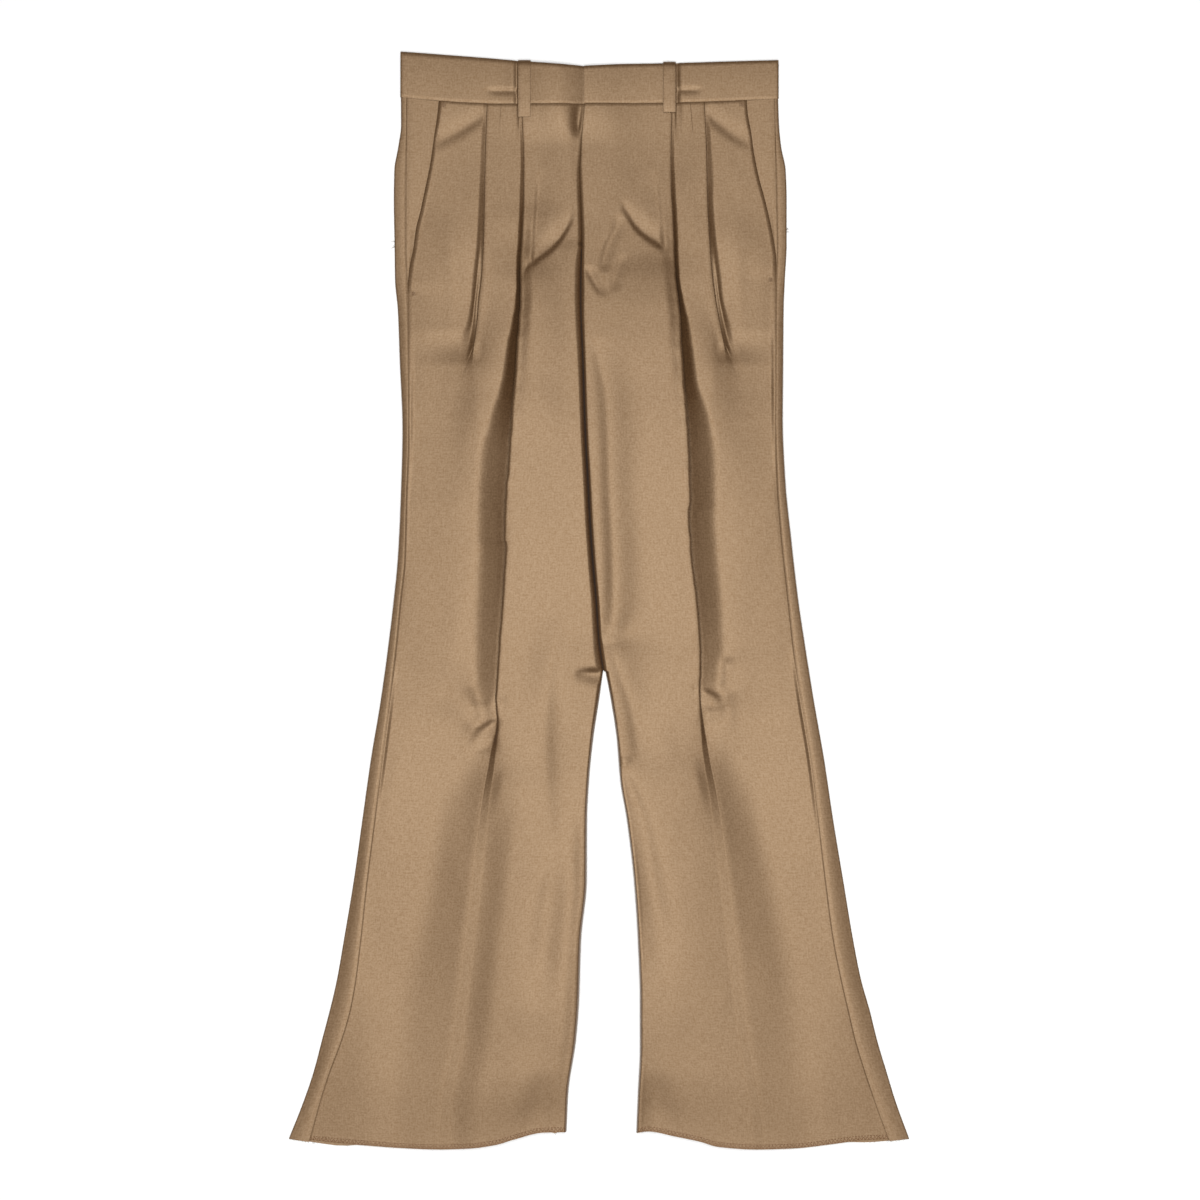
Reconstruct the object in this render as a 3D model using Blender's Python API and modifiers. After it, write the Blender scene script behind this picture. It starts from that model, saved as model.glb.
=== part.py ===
"""Pleated, flared dress trousers laid flat on their back, front side up.

The waist points along +Y and the hems along -Y, +Z is up and the back panels rest on z = 0.
Left and right are the wearer's, so the right leg lies at -X. All sizes below are in millimetres
and become metres in one place, grid_surface. A half of the garment is worked out in "out", the
distance from the middle line x = 0 towards that half's side seam, so both halves share the code.
"""

import math
from collections import namedtuple

import bmesh
import bpy
import numpy as np

MM = 0.001

# Cloth and seams
CLOTH = 1.0  # wall of a leg panel
BAND_CLOTH = 1.6  # waistband wall, outer cloth and its stiffening together
SEAM_GAP = 0.3
LAYER_PITCH = 1.4  # from one pleat layer to the next, wall and air together
BACK_MIDDLE = CLOTH / 2  # height of the back panels' middle surface
ROLL_RADIUS = 1.3  # of the back panel's turn round the outer edge
STRIP_MIDDLE = BACK_MIDDLE + 2 * ROLL_RADIUS  # height where the back panel comes round to the front
INSEAM_FOOT = CLOTH + SEAM_GAP  # where a rolled front edge stops, just above the back panel

# Lengths down the garment
WAIST_SEAM = 495.0
HEM_LINE = -540.0
FLY_END = 330.0
POCKET_END = 320.0

# Driving tables. y runs from the waist seam down to the hem.
Outline = namedtuple("Outline", "y outer seam")
OUTLINE = {
    "right": [
        Outline(495, 199.5, 193.0),
        Outline(462, 199.5, 193.0),
        Outline(420, 205.5, 193.5),
        Outline(350, 205.5, 193.0),
        Outline(260, 200.0, 191.0),
        Outline(170, 197.5, 190.5),
        Outline(80, 200.0, 194.0),
        Outline(0, 206.0, 198.5),
        Outline(-80, 216.0, 208.0),
        Outline(-180, 232.0, 221.0),
        Outline(-300, 249.0, 235.0),
        Outline(-390, 265.0, 246.0),
        Outline(-460, 283.0, 264.0),
        Outline(-540, 310.0, 291.0),
    ],
    "left": [
        Outline(495, 178.5, 173.5),
        Outline(462, 180.0, 174.0),
        Outline(420, 186.0, 175.5),
        Outline(350, 186.0, 175.5),
        Outline(260, 183.0, 174.5),
        Outline(170, 183.0, 175.5),
        Outline(80, 189.0, 180.5),
        Outline(0, 198.0, 187.0),
        Outline(-80, 210.0, 199.5),
        Outline(-180, 227.0, 214.0),
        Outline(-300, 246.0, 228.5),
        Outline(-390, 264.5, 243.5),
        Outline(-460, 283.0, 261.5),
        Outline(-540, 309.5, 288.0),
    ],
}

# The middle line of the front: fly edge, crotch seam, then the two inseams down to where they part.
Middle = namedtuple("Middle", "y x")
MIDDLE = [
    Middle(495, -15.5),
    Middle(440, -19.5),
    Middle(400, -19.0),
    Middle(330, -17.5),
    Middle(200, -16.0),
    Middle(120, -13.0),
    Middle(40, -8.5),
    Middle(0, -5.0),
    Middle(-40, -0.5),
    Middle(-70, 3.2),
]
Inseam = namedtuple("Inseam", "y out")
INSEAM = {  # below the point where the legs part
    "right": [
        Inseam(-70, -3.2),
        Inseam(-100, 1.0),
        Inseam(-140, 7.0),
        Inseam(-180, 11.0),
        Inseam(-220, 13.0),
        Inseam(-280, 13.5),
        Inseam(-340, 19.0),
        Inseam(-420, 21.5),
        Inseam(-490, 31.0),
        Inseam(-540, 33.5),
    ],
    "left": [
        Inseam(-70, 5.0),
        Inseam(-100, 11.0),
        Inseam(-140, 17.0),
        Inseam(-180, 20.5),
        Inseam(-220, 27.0),
        Inseam(-280, 34.0),
        Inseam(-340, 38.0),
        Inseam(-420, 40.0),
        Inseam(-490, 39.0),
        Inseam(-540, 36.5),
    ],
}

# The slanted pocket mouth, where the front panel stops short of the side seam.
Mouth = namedtuple("Mouth", "y out")
MOUTH = {
    "right": [Mouth(495, 161.5), Mouth(440, 168.0), Mouth(385, 179.5), Mouth(345, 188.5), Mouth(320, 192.2)],
    "left": [Mouth(495, 146.5), Mouth(440, 155.5), Mouth(385, 168.0), Mouth(345, 173.2), Mouth(320, 174.9)],
}

# A folded stretch of the front. line is its edge as seen from above and depth how far the cloth
# turns back under it; a negative depth is the run of an open slope. low is the height of the cloth
# outside it, rise the step up to the cloth inside it, and radius that of its two turns.
Fold = namedtuple("Fold", "y line depth low rise radius")
CREASE = {  # inner pleat, which runs on down the leg as its front crease
    "right": [
        Fold(495, 79.0, 16.0, 2.2, 2.8, 0.7),
        Fold(440, 76.0, 15.0, 2.2, 3.2, 0.8),
        Fold(385, 77.5, 12.0, 2.2, 5.0, 1.1),
        Fold(335, 80.0, 8.0, 2.2, 7.5, 1.5),
        Fold(285, 82.5, 5.0, 2.2, 10.0, 1.8),
        Fold(220, 87.5, 4.0, 2.2, 12.0, 2.0),
        Fold(120, 92.5, 3.0, 2.2, 13.0, 2.0),
        Fold(0, 97.0, 2.0, 2.3, 12.5, 2.0),
        Fold(-70, 102.5, 0.0, 2.4, 10.0, 2.0),
        Fold(-115, 102.5, -3.0, 2.6, 7.0, 2.0),
        Fold(-170, 107.5, -6.0, 2.8, 4.6, 2.0),
        Fold(-260, 118.0, -8.0, 3.0, 2.8, 2.0),
        Fold(-380, 131.5, -9.0, 3.0, 1.8, 2.0),
        Fold(-500, 150.0, -9.0, 3.0, 1.3, 2.0),
        Fold(-540, 152.5, -9.0, 2.6, 1.0, 2.0),
    ],
    "left": [
        Fold(495, 72.5, 16.0, 2.2, 2.8, 0.7),
        Fold(440, 71.5, 15.0, 2.2, 3.2, 0.8),
        Fold(385, 73.0, 12.0, 2.2, 5.0, 1.1),
        Fold(335, 76.0, 8.0, 2.2, 7.5, 1.5),
        Fold(285, 79.0, 5.0, 2.2, 10.0, 1.8),
        Fold(220, 84.0, 4.0, 2.2, 12.0, 2.0),
        Fold(120, 90.0, 3.0, 2.2, 13.0, 2.0),
        Fold(0, 95.5, 2.0, 2.3, 12.5, 2.0),
        Fold(-70, 99.5, 0.0, 2.4, 10.0, 2.0),
        Fold(-115, 102.5, -3.0, 2.6, 7.0, 2.0),
        Fold(-170, 109.0, -6.0, 2.8, 4.6, 2.0),
        Fold(-260, 119.0, -8.0, 3.0, 2.8, 2.0),
        Fold(-380, 133.5, -9.0, 3.0, 1.8, 2.0),
        Fold(-500, 153.0, -9.0, 3.0, 1.3, 2.0),
        Fold(-540, 156.0, -9.0, 2.6, 1.0, 2.0),
    ],
}
PLEAT = {  # outer pleat, which opens out below the hip
    "right": [
        Fold(495, 113.0, 15.0, 2.2, 2.8, 0.7),
        Fold(440, 115.0, 14.0, 2.2, 2.8, 0.7),
        Fold(385, 116.0, 11.0, 2.2, 3.2, 0.8),
        Fold(335, 117.0, 7.0, 2.3, 3.8, 0.9),
        Fold(290, 118.5, 3.0, 2.5, 4.2, 1.0),
        Fold(250, 122.0, -4.0, 2.8, 4.0, 1.2),
        Fold(200, 130.0, -15.0, 3.0, 3.8, 2.0),
        Fold(120, 146.0, -24.0, 3.1, 3.6, 3.0),
        Fold(-100, 168.0, -26.0, 3.1, 3.4, 3.0),
        Fold(-300, 196.0, -26.0, 3.1, 3.8, 3.0),
        Fold(-540, 232.0, -26.0, 2.9, 1.8, 3.0),
    ],
    "left": [
        Fold(495, 104.0, 15.0, 2.2, 2.8, 0.7),
        Fold(440, 106.0, 14.0, 2.2, 2.8, 0.7),
        Fold(385, 107.5, 11.0, 2.2, 3.2, 0.8),
        Fold(335, 109.0, 7.0, 2.3, 3.8, 0.9),
        Fold(290, 112.5, 3.0, 2.5, 4.2, 1.0),
        Fold(250, 119.0, -4.0, 2.8, 4.0, 1.2),
        Fold(200, 127.0, -13.0, 3.0, 3.8, 2.0),
        Fold(120, 138.0, -22.0, 3.1, 3.6, 3.0),
        Fold(-100, 162.0, -24.0, 3.1, 3.4, 3.0),
        Fold(-300, 190.0, -24.0, 3.1, 3.8, 3.0),
        Fold(-540, 232.0, -26.0, 2.9, 1.8, 3.0),
    ],
}
VALLEY_RUN = 27.0  # how far outside the crease the cloth starts to dip towards it

# How a front panel ends at the middle. past is how far it reaches beyond the middle line, end the
# height of its edge, shoulder the height before it turns down and run the width of that turn.
Ending = namedtuple("Ending", "y past end shoulder run")
ENDING = {
    "right": [
        Ending(495, 8.0, 3.4, 4.4, 8.0),
        Ending(440, 8.0, 3.4, 6.4, 7.0),
        Ending(362, 8.0, 3.4, 7.4, 6.0),
        Ending(349, -0.7, 3.4, 7.4, 6.0),
        Ending(336, -0.7, INSEAM_FOOT, 7.4, 5.0),
        Ending(100, -0.7, INSEAM_FOOT, 7.2, 4.5),
        Ending(-60, -0.7, INSEAM_FOOT, 6.4, 4.5),
        Ending(-300, -0.5, INSEAM_FOOT, 4.6, 4.0),
        Ending(-540, -0.5, INSEAM_FOOT, 3.6, 3.0),
    ],
    "left": [
        Ending(495, -0.6, 5.6, 6.0, 4.0),
        Ending(440, -0.6, 5.6, 6.4, 4.0),
        Ending(358, -0.6, 6.4, 7.6, 4.0),
        Ending(346, -0.7, 6.0, 7.8, 4.0),
        Ending(326, -0.7, INSEAM_FOOT, 8.0, 4.5),
        Ending(100, -0.7, INSEAM_FOOT, 8.0, 4.5),
        Ending(-60, -0.7, INSEAM_FOOT, 6.6, 4.5),
        Ending(-300, -0.5, INSEAM_FOOT, 4.6, 4.0),
        Ending(-540, -0.5, INSEAM_FOOT, 3.6, 3.0),
    ],
}

# Soft ridges (height above 0) and troughs (below 0) pressed into the fronts, each along one line.
Crease = namedtuple("Crease", "out0 y0 out1 y1 width height")
SOFT_FOLDS = {
    "right": [
        Crease(34, 368, 62, 342, 8, -2.2),  # pull line from the fly to the crease
        Crease(30, 345, 60, 318, 10, 1.6),
        Crease(45, -40, 58, -240, 16, -1.4),  # knee
        Crease(48, -270, 66, -350, 11, -1.6),
        Crease(60, -490, 66, -545, 12, -1.2),
        Crease(215, -180, 222, -440, 16, 1.4),  # bright band by the side seam
        Crease(140, -150, 172, -470, 18, -1.4),
    ],
    "left": [
        Crease(35, 382, 64, 348, 8, -2.2),
        Crease(28, 350, 62, 325, 10, 1.4),
        Crease(5, 130, 18, -40, 8, -3.0),  # hollow beside the inner edge
        Crease(18, -40, 42, -200, 10, -2.2),
        Crease(50, -230, 66, -350, 10, -1.8),
        Crease(62, -490, 70, -545, 12, -1.2),
        Crease(200, -250, 218, -440, 16, 1.4),
        Crease(150, -150, 170, -470, 18, -1.4),
    ],
}
EDGE_FADE = 9.0  # the soft folds die away this close to a panel's edges

# Edges across the garment: how far each lies above or below its nominal line.
Edge = namedtuple("Edge", "share rise")  # share runs from 0 at the middle line to 1 at the outer edge
WAIST_SEAM_EDGE = {
    "right": [Edge(0.0, 0.5), Edge(0.5, 1.0), Edge(0.8, 3.5), Edge(1.0, 6.5)],
    "left": [Edge(0.0, 0.5), Edge(0.5, 2.0), Edge(0.8, 4.0), Edge(1.0, 5.0)],
}
BAND_TOP_EDGE = {
    "right": [Edge(0.0, 33.0), Edge(0.35, 36.5), Edge(0.7, 40.5), Edge(1.0, 46.5)],
    "left": [Edge(0.0, 33.0), Edge(0.45, 36.5), Edge(0.8, 38.5), Edge(1.0, 39.0)],
}
HEM_EDGE = {
    "right": [Edge(0.0, 9.5), Edge(0.12, 6.5), Edge(0.3, -6.0), Edge(0.45, -8.0), Edge(0.75, -3.5), Edge(1.0, 1.0)],
    "left": [Edge(0.0, 9.5), Edge(0.12, 7.5), Edge(0.3, -6.5), Edge(0.45, -8.0), Edge(0.75, -3.0), Edge(1.0, 1.5)],
}
BACK_HEM_LIFT = 2.0  # the back hems stop this far inside the front ones at mid leg

# Grid sizes: rows down the garment, shared by all panels so that their seams meet, and columns
# across each stretch of a front panel
ROWS = [495, 478, 458, 436, 412, 390, 374, 360, 348, 337, 326, 312, 294, 270, 244, 214, 180]
ROWS += [142, 104, 66, 28, -8, -40, -70, -94, -118, -146, -180, -218, -258, -302, -346, -390]
ROWS += [-432, -470, -503, -526, -540]
FACING_ROWS = [y for y in ROWS if y > POCKET_END]
OUTER_STEPS = 4
TURN_STEPS = 3
BETWEEN_STEPS = 7
INNER_STEPS = 9
ENDING_STEPS = 4

# Waistband
BAND_BACK_MIDDLE = 2.1
BAND_FRONT_MIDDLE = 4.0
BAND_LAP = 38.0  # how far the left end laps over the right one
BAND_LAP_MIDDLE = 7.0
BAND_LAP_SLOPE = 14.0
BAND_DOWN_STEPS = 2

# Belt loops
LOOP_WIDTH = 12.0
LOOP_CLOTH = 1.0
LOOP_TAIL = 12.5  # below the waist seam
LOOP_ARCH = 6.9  # height of the loop's middle surface over the band
FRONT_LOOP = {"right": 76.0, "left": 69.5}
BACK_LOOP_OUT = 105.0

# Fly zip and the hook behind the waistband lap
ZIP_TAPE_WIDTH = 26.0
ZIP_TAPE_MIDDLE = 1.75
ZIP_TAPE = 0.8
ZIP_CHAIN_WIDTH = 4.0
ZIP_CHAIN_HEIGHT = 0.4
HOOK_SIZE = (14.0, 9.0, 0.8)

# Pocket facing, seen between the pocket mouth and the side seam
FACING_TUCK = 16.0  # how far it runs on under the front panel
FACING_INNER_MIDDLE = 2.05

COLOURS = {
    "suiting": (0.36, 0.225, 0.135, 1.0),
    "loop": (0.34, 0.21, 0.125, 1.0),
    "zip": (0.22, 0.14, 0.08, 1.0),
    "hook": (0.62, 0.61, 0.58, 1.0),
}
SIDES = {"right": -1.0, "left": 1.0}


def smoothstep(low, high, value):
    t = np.clip((value - low) / (high - low), 0.0, 1.0)
    return t * t * (3 - 2 * t)


def through(rows, column, key, at):
    """The named column of a table at any key, on a cubic that never overshoots its rows."""
    keys = np.array([getattr(row, key) for row in rows], float)
    values = np.array([getattr(row, column) for row in rows], float)
    if keys[0] > keys[-1]:
        keys, values = keys[::-1], values[::-1]
    steps = np.diff(keys)
    slopes = np.diff(values) / steps
    tangents = np.zeros(len(keys))
    same_way = slopes[:-1] * slopes[1:] > 0
    lengths = 2 * steps[1:] + steps[:-1], steps[1:] + 2 * steps[:-1]
    inner = np.where(same_way, slopes[:-1], 1.0), np.where(same_way, slopes[1:], 1.0)
    harmonic = (lengths[0] + lengths[1]) / (lengths[0] / inner[0] + lengths[1] / inner[1])
    tangents[1:-1] = np.where(same_way, harmonic, 0.0)
    tangents[0], tangents[-1] = slopes[0], slopes[-1]
    at = float(np.clip(at, keys[0], keys[-1]))
    i = int(np.clip(np.searchsorted(keys, at) - 1, 0, len(steps) - 1))
    t = (at - keys[i]) / steps[i]
    return float(
        (2 * t**3 - 3 * t**2 + 1) * values[i]
        + (t**3 - 2 * t**2 + t) * steps[i] * tangents[i]
        + (3 * t**2 - 2 * t**3) * values[i + 1]
        + (t**3 - t**2) * steps[i] * tangents[i + 1]
    )


def row_at(rows, y):
    """A whole row of a table at any y."""
    kind = type(rows[0])
    return kind(y, *(through(rows, column, "y", y) for column in kind._fields[1:]))


def middle_out(side, y):
    """Where the middle of the garment, or that leg's inner edge, lies at this y."""
    if y > MIDDLE[-1].y:
        return SIDES[side] * through(MIDDLE, "x", "y", y)
    return through(INSEAM[side], "out", "y", y)


def outline_at(side, y):
    return row_at(OUTLINE[side], y)


def front_edge(side, y):
    """The front panel's outer edge: the pocket mouth, and the side seam below it."""
    if y > POCKET_END:
        return through(MOUTH[side], "out", "y", y)
    return outline_at(side, y).seam - SEAM_GAP


def edge_rise(rows, side, out, y):
    share = (out - middle_out(side, y)) / (outline_at(side, y).outer - middle_out(side, y))
    return through(rows, "rise", "share", share)


def waist_y(side, out):
    return WAIST_SEAM + edge_rise(WAIST_SEAM_EDGE[side], side, out, WAIST_SEAM)


def band_top_y(side, out):
    return WAIST_SEAM + 5.0 + edge_rise(BAND_TOP_EDGE[side], side, out, WAIST_SEAM)


def true_y(side, out, y, lift=0.0):
    """A nominal row's real y: it bends to the waist seam at the top and to the hem at the bottom."""
    top = smoothstep(WAIST_SEAM - 60, WAIST_SEAM, y)
    foot = smoothstep(HEM_LINE + 130, HEM_LINE, y)
    waist = edge_rise(WAIST_SEAM_EDGE[side], side, out, WAIST_SEAM) * top
    hem = edge_rise(HEM_EDGE[side], side, out, HEM_LINE)
    return y + waist + (hem + lift) * foot


def soft_height(side, out, y, inner, outer):
    """The soft ridges and troughs at a point, faded out at the panel's edges and at its pleats."""
    height = 0.0
    for crease in SOFT_FOLDS[side]:
        along = np.array([crease.out1 - crease.out0, crease.y1 - crease.y0])
        length = float(np.hypot(*along))
        along = along / length
        offset = np.array([out - crease.out0, y - crease.y0])
        run = float(offset @ along)
        past = max(0.0, -run, run - length)
        aside = abs(float(offset @ np.array([-along[1], along[0]])))
        ends = math.exp(-((past / (1.6 * crease.width)) ** 2))
        height += crease.height * math.exp(-((aside / crease.width) ** 2)) * ends
    fade = smoothstep(0, EDGE_FADE, out - inner) * smoothstep(0, EDGE_FADE, outer - out)
    for fold in (row_at(CREASE[side], y), row_at(PLEAT[side], y)):
        hidden = fold.line - max(fold.depth, 0.0) - 2 * fold.radius
        fade *= smoothstep(0, EDGE_FADE, max(out - fold.line - 2, hidden - out) + 2)
    return float(height * fade)


def fold_points(fold, steps):
    """The S of a fold as (out, z) points: a turn under, the hidden layer, and a turn back on top.

    Both turns are arcs of one radius, joined by the line that touches them both.
    """
    radius = min(fold.radius, 0.95 * (fold.depth**2 + fold.rise**2) / (4 * fold.rise))
    start = np.array([-fold.line + radius + fold.depth, fold.low + radius])
    finish = np.array([-fold.line + radius, fold.low + fold.rise - radius])
    reach = float(np.hypot(*(finish - start)))
    heading = math.atan2(finish[1] - start[1], finish[0] - start[0])
    heading += math.asin(2 * radius / reach)
    turns = [heading * k / steps for k in range(steps + 1)]
    under = [start + radius * np.array([math.sin(a), -math.cos(a)]) for a in turns]
    over = [finish + radius * np.array([-math.sin(a), math.cos(a)]) for a in turns[::-1]]
    return [(-p[0], p[1]) for p in under + over]


def level_run(start, finish, bend_from, bend_to, steps):
    """Points between two places at the given steps: level, a soft slope between the bends, level."""
    shares = np.linspace(0, 1, steps + 1)[1:-1]
    outs = start[0] + (finish[0] - start[0]) * shares
    slope = smoothstep(bend_from, bend_to, outs) if bend_from < bend_to else None
    if slope is None:
        slope = 1 - smoothstep(bend_to, bend_from, outs)
    return [(float(o), float(start[1] + (finish[1] - start[1]) * s)) for o, s in zip(outs, slope)]


def ending_points(side, y, inner, steps):
    """The last stretch of a front section: a roll down to the seam, or the tuck under the fly."""
    row = row_at(ENDING[side], y)
    top = (inner + row.run + max(0.0, -row.past), row.shoulder)
    tucked = smoothstep(0.0, 4.0, row.past)
    points = [top]
    for k in range(1, steps + 1):
        t = k / steps
        roll = (inner - row.past + row.run * (1 - math.sin(t * math.pi / 2)), 0.0)
        roll_z = row.end + 1.0 + (row.shoulder - row.end - 1.0) * math.cos(t * math.pi / 2)
        if k == steps:
            roll_z = row.end
        ease = float(smoothstep(0.0, 0.6, t))
        tuck = top[0] + (inner - row.past - top[0]) * t
        tuck_z = row.shoulder + (row.end - row.shoulder) * ease
        points.append((roll[0] + (tuck - roll[0]) * tucked, roll_z + (tuck_z - roll_z) * tucked))
    return points


def front_section(side, y):
    """One section across a front panel, from its outer edge to the middle, as (out, z) points."""
    edge = front_edge(side, y)
    inner = middle_out(side, y)
    pleat = row_at(PLEAT[side], y)
    crease = row_at(CREASE[side], y)
    pleat_points = fold_points(pleat, TURN_STEPS)
    crease_points = fold_points(crease, TURN_STEPS + 1)
    ending = ending_points(side, y, inner, ENDING_STEPS)
    over_facing = smoothstep(POCKET_END - 12, POCKET_END + 5, y)
    edge_z = STRIP_MIDDLE + 0.9 * over_facing
    first = (edge, edge_z)
    facing_end = edge - (FACING_TUCK + 3) * over_facing - 2
    points = [first]
    pleat_foot = max(pleat.line + 2.5, pleat_points[0][0] + 1)
    points += level_run(first, pleat_points[0], facing_end, pleat_foot, OUTER_STEPS)
    points += pleat_points
    dip_from = min(pleat.line - max(pleat.depth, 0) - 2 * pleat.radius - 2, crease.line + VALLEY_RUN)
    crease_foot = max(crease.line + 2.5, crease_points[0][0] + 1)
    points += level_run(pleat_points[-1], crease_points[0], dip_from, crease_foot, BETWEEN_STEPS)
    points += crease_points
    rest_from = crease.line - max(crease.depth, 0) - 2 * crease.radius - 2
    points += level_run(crease_points[-1], ending[0], rest_from, ending[0][0] + 4, INNER_STEPS)
    points += ending
    return [(out, z + soft_height(side, out, y, inner, edge)) for out, z in points]


def back_section(side, y):
    """One section of a back panel: flat from the inner edge, round the outer edge, to the side seam."""
    row = outline_at(side, y)
    inner = middle_out(side, y) + 0.2
    turn = row.outer - ROLL_RADIUS - CLOTH / 2
    flat = [(inner + (turn - inner) * k / 3, BACK_MIDDLE) for k in range(3)]
    angles = [math.pi * (k / 5 - 0.5) for k in range(6)]
    centre = BACK_MIDDLE + ROLL_RADIUS
    roll = [(turn + ROLL_RADIUS * math.cos(a), centre + ROLL_RADIUS * math.sin(a)) for a in angles]
    return flat + roll + [(row.seam, STRIP_MIDDLE)]


def grid_surface(name, rows, collection, material, wall, offset=0.0):
    """A smooth open surface through rows of (x, y, z) points, given its wall by Solidify."""
    mesh = bpy.data.meshes.new(name)
    grid = bmesh.new()
    columns = len(rows[0])
    bmesh.ops.create_grid(grid, x_segments=columns - 1, y_segments=len(rows) - 1, size=1.0)
    grid.verts.ensure_lookup_table()
    order = sorted(grid.verts, key=lambda v: (round(-v.co.y, 6), round(v.co.x, 6)))
    for vertex, point in zip(order, [p for row in rows for p in row]):
        vertex.co = [c * MM for c in point]
    bmesh.ops.recalc_face_normals(grid, faces=grid.faces)
    grid.to_mesh(mesh)
    grid.free()
    mesh.shade_smooth()
    mesh.set_sharp_from_angle(angle=math.radians(60))
    mesh.materials.append(material)
    obj = bpy.data.objects.new(name, mesh)
    collection.objects.link(obj)
    shell = obj.modifiers.new("Wall", "SOLIDIFY")
    shell.thickness = wall * MM
    shell.offset = offset
    shell.use_even_offset = True
    return obj


def placed(side, section, y, lift=0.0):
    return [(SIDES[side] * out, true_y(side, out, y, lift), z) for out, z in section]


def make_fronts(collection, cloth):
    for side in SIDES:
        rows = [placed(side, front_section(side, y), y) for y in ROWS]
        grid_surface(f"front_{side}", rows, collection, cloth, CLOTH)


def make_backs(collection, cloth):
    for side in SIDES:
        rows = [placed(side, back_section(side, y), y, BACK_HEM_LIFT) for y in ROWS]
        grid_surface(f"back_{side}", rows, collection, cloth, CLOTH)


def make_pocket_facings(collection, cloth):
    """The strip of cloth behind each slanted mouth, from the side seam to under the front panel."""
    for side in SIDES:
        rows = []
        for y in FACING_ROWS:
            seam = outline_at(side, y).seam - SEAM_GAP
            mouth = min(through(MOUTH[side], "out", "y", y), seam - 2)
            section = [(seam, STRIP_MIDDLE)]
            section += [((seam + mouth) / 2 - 0.5, STRIP_MIDDLE - 0.35), (mouth - 2, FACING_INNER_MIDDLE + 0.3)]
            section += [(mouth - FACING_TUCK * s, FACING_INNER_MIDDLE) for s in (0.4, 1.0)]
            rows.append(placed(side, section, y))
        grid_surface(f"pocket_facing_{side}", rows, collection, cloth, CLOTH)


def band_front_height(side, out):
    """The band's front layer, raised where the left end laps over the right one."""
    if side == "right":
        return BAND_FRONT_MIDDLE
    lap_end = middle_out(side, WAIST_SEAM) + BAND_LAP
    rise = 1 - smoothstep(lap_end + 2, lap_end + 2 + BAND_LAP_SLOPE, out)
    return float(BAND_FRONT_MIDDLE + (BAND_LAP_MIDDLE - BAND_FRONT_MIDDLE) * rise)


def make_waistband(collection, cloth):
    """Each half runs from the front closure round the side fold to the centre back seam."""
    for side in SIDES:
        middle = middle_out(side, WAIST_SEAM)
        front_end = middle + (0.3 if side == "left" else -BAND_LAP)
        turn_radius = (BAND_FRONT_MIDDLE - BAND_BACK_MIDDLE) / 2
        turn = outline_at(side, WAIST_SEAM).outer - turn_radius - BAND_CLOTH / 2
        steps = 16
        outs = [front_end + (turn - front_end) * k / steps for k in range(steps)]
        section = [(out, band_front_height(side, out)) for out in outs]
        angles = [math.pi * (0.5 - k / 5) for k in range(6)]
        centre = (BAND_FRONT_MIDDLE + BAND_BACK_MIDDLE) / 2
        section += [(turn + turn_radius * math.cos(a), centre + turn_radius * math.sin(a)) for a in angles]
        section += [(turn + (middle + 0.2 - turn) * k / 6, BAND_BACK_MIDDLE) for k in range(1, 7)]
        rows = []
        for k in range(BAND_DOWN_STEPS + 1):
            share = k / BAND_DOWN_STEPS
            rows.append([])
            for out, z in section:
                top = band_top_y(side, max(out, middle))
                low = waist_y(side, max(out, middle)) + SEAM_GAP
                rows[-1].append((SIDES[side] * out, top + (low - top) * share, z))
        grid_surface(f"waistband_{side}", rows, collection, cloth, BAND_CLOTH)


def loop_surface(name, x, path, collection, cloth):
    """A strip of loop cloth that follows (y, z) points at one x."""
    rows = [[(x + LOOP_WIDTH * (s - 0.5), y, z) for s in (0.0, 0.5, 1.0)] for y, z in path]
    return grid_surface(name, rows, collection, cloth, LOOP_CLOTH)


def make_front_loops(collection, cloth):
    """Turned over the band's top edge, arched over the band, and tacked below the waist seam."""
    for side, out in FRONT_LOOP.items():
        top = band_top_y(side, out)
        seam = waist_y(side, out)
        over = top + SEAM_GAP + LOOP_CLOTH / 2 + 0.6
        path = [
            (over, BAND_FRONT_MIDDLE - 0.6),
            (over, BAND_FRONT_MIDDLE + 0.8),
            (over - 0.9, LOOP_ARCH - 1.1),
            (over - 3.5, LOOP_ARCH - 0.3),
            (over - 9.0, LOOP_ARCH),
            ((top + seam) / 2, LOOP_ARCH),
            (seam + 3.0, LOOP_ARCH),
            (seam - 5.0, LOOP_ARCH - 0.25),
            (seam - LOOP_TAIL, LOOP_ARCH - 0.5),
        ]
        loop_surface(f"belt_loop_front_{side}", SIDES[side] * out, path, collection, cloth)


def make_back_loops(collection, cloth):
    """Flat under the back of the waistband: one by each side of the back, and one at its centre."""
    middle = SIDES["left"] * middle_out("left", WAIST_SEAM)
    places = {"belt_loop_back_right": ("right", BACK_LOOP_OUT), "belt_loop_back_left": ("left", BACK_LOOP_OUT)}
    places["belt_loop_back_centre"] = ("left", middle + LOOP_WIDTH / 2)
    for name, (side, out) in places.items():
        x = middle if name.endswith("centre") else SIDES[side] * out
        top = band_top_y(side, out)
        seam = waist_y(side, out) + 1.5
        path = [(top - 1.0, LOOP_CLOTH / 2), ((top + seam) / 2, LOOP_CLOTH / 2), (seam, LOOP_CLOTH / 2)]
        loop_surface(name, x, path, collection, cloth)


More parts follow.
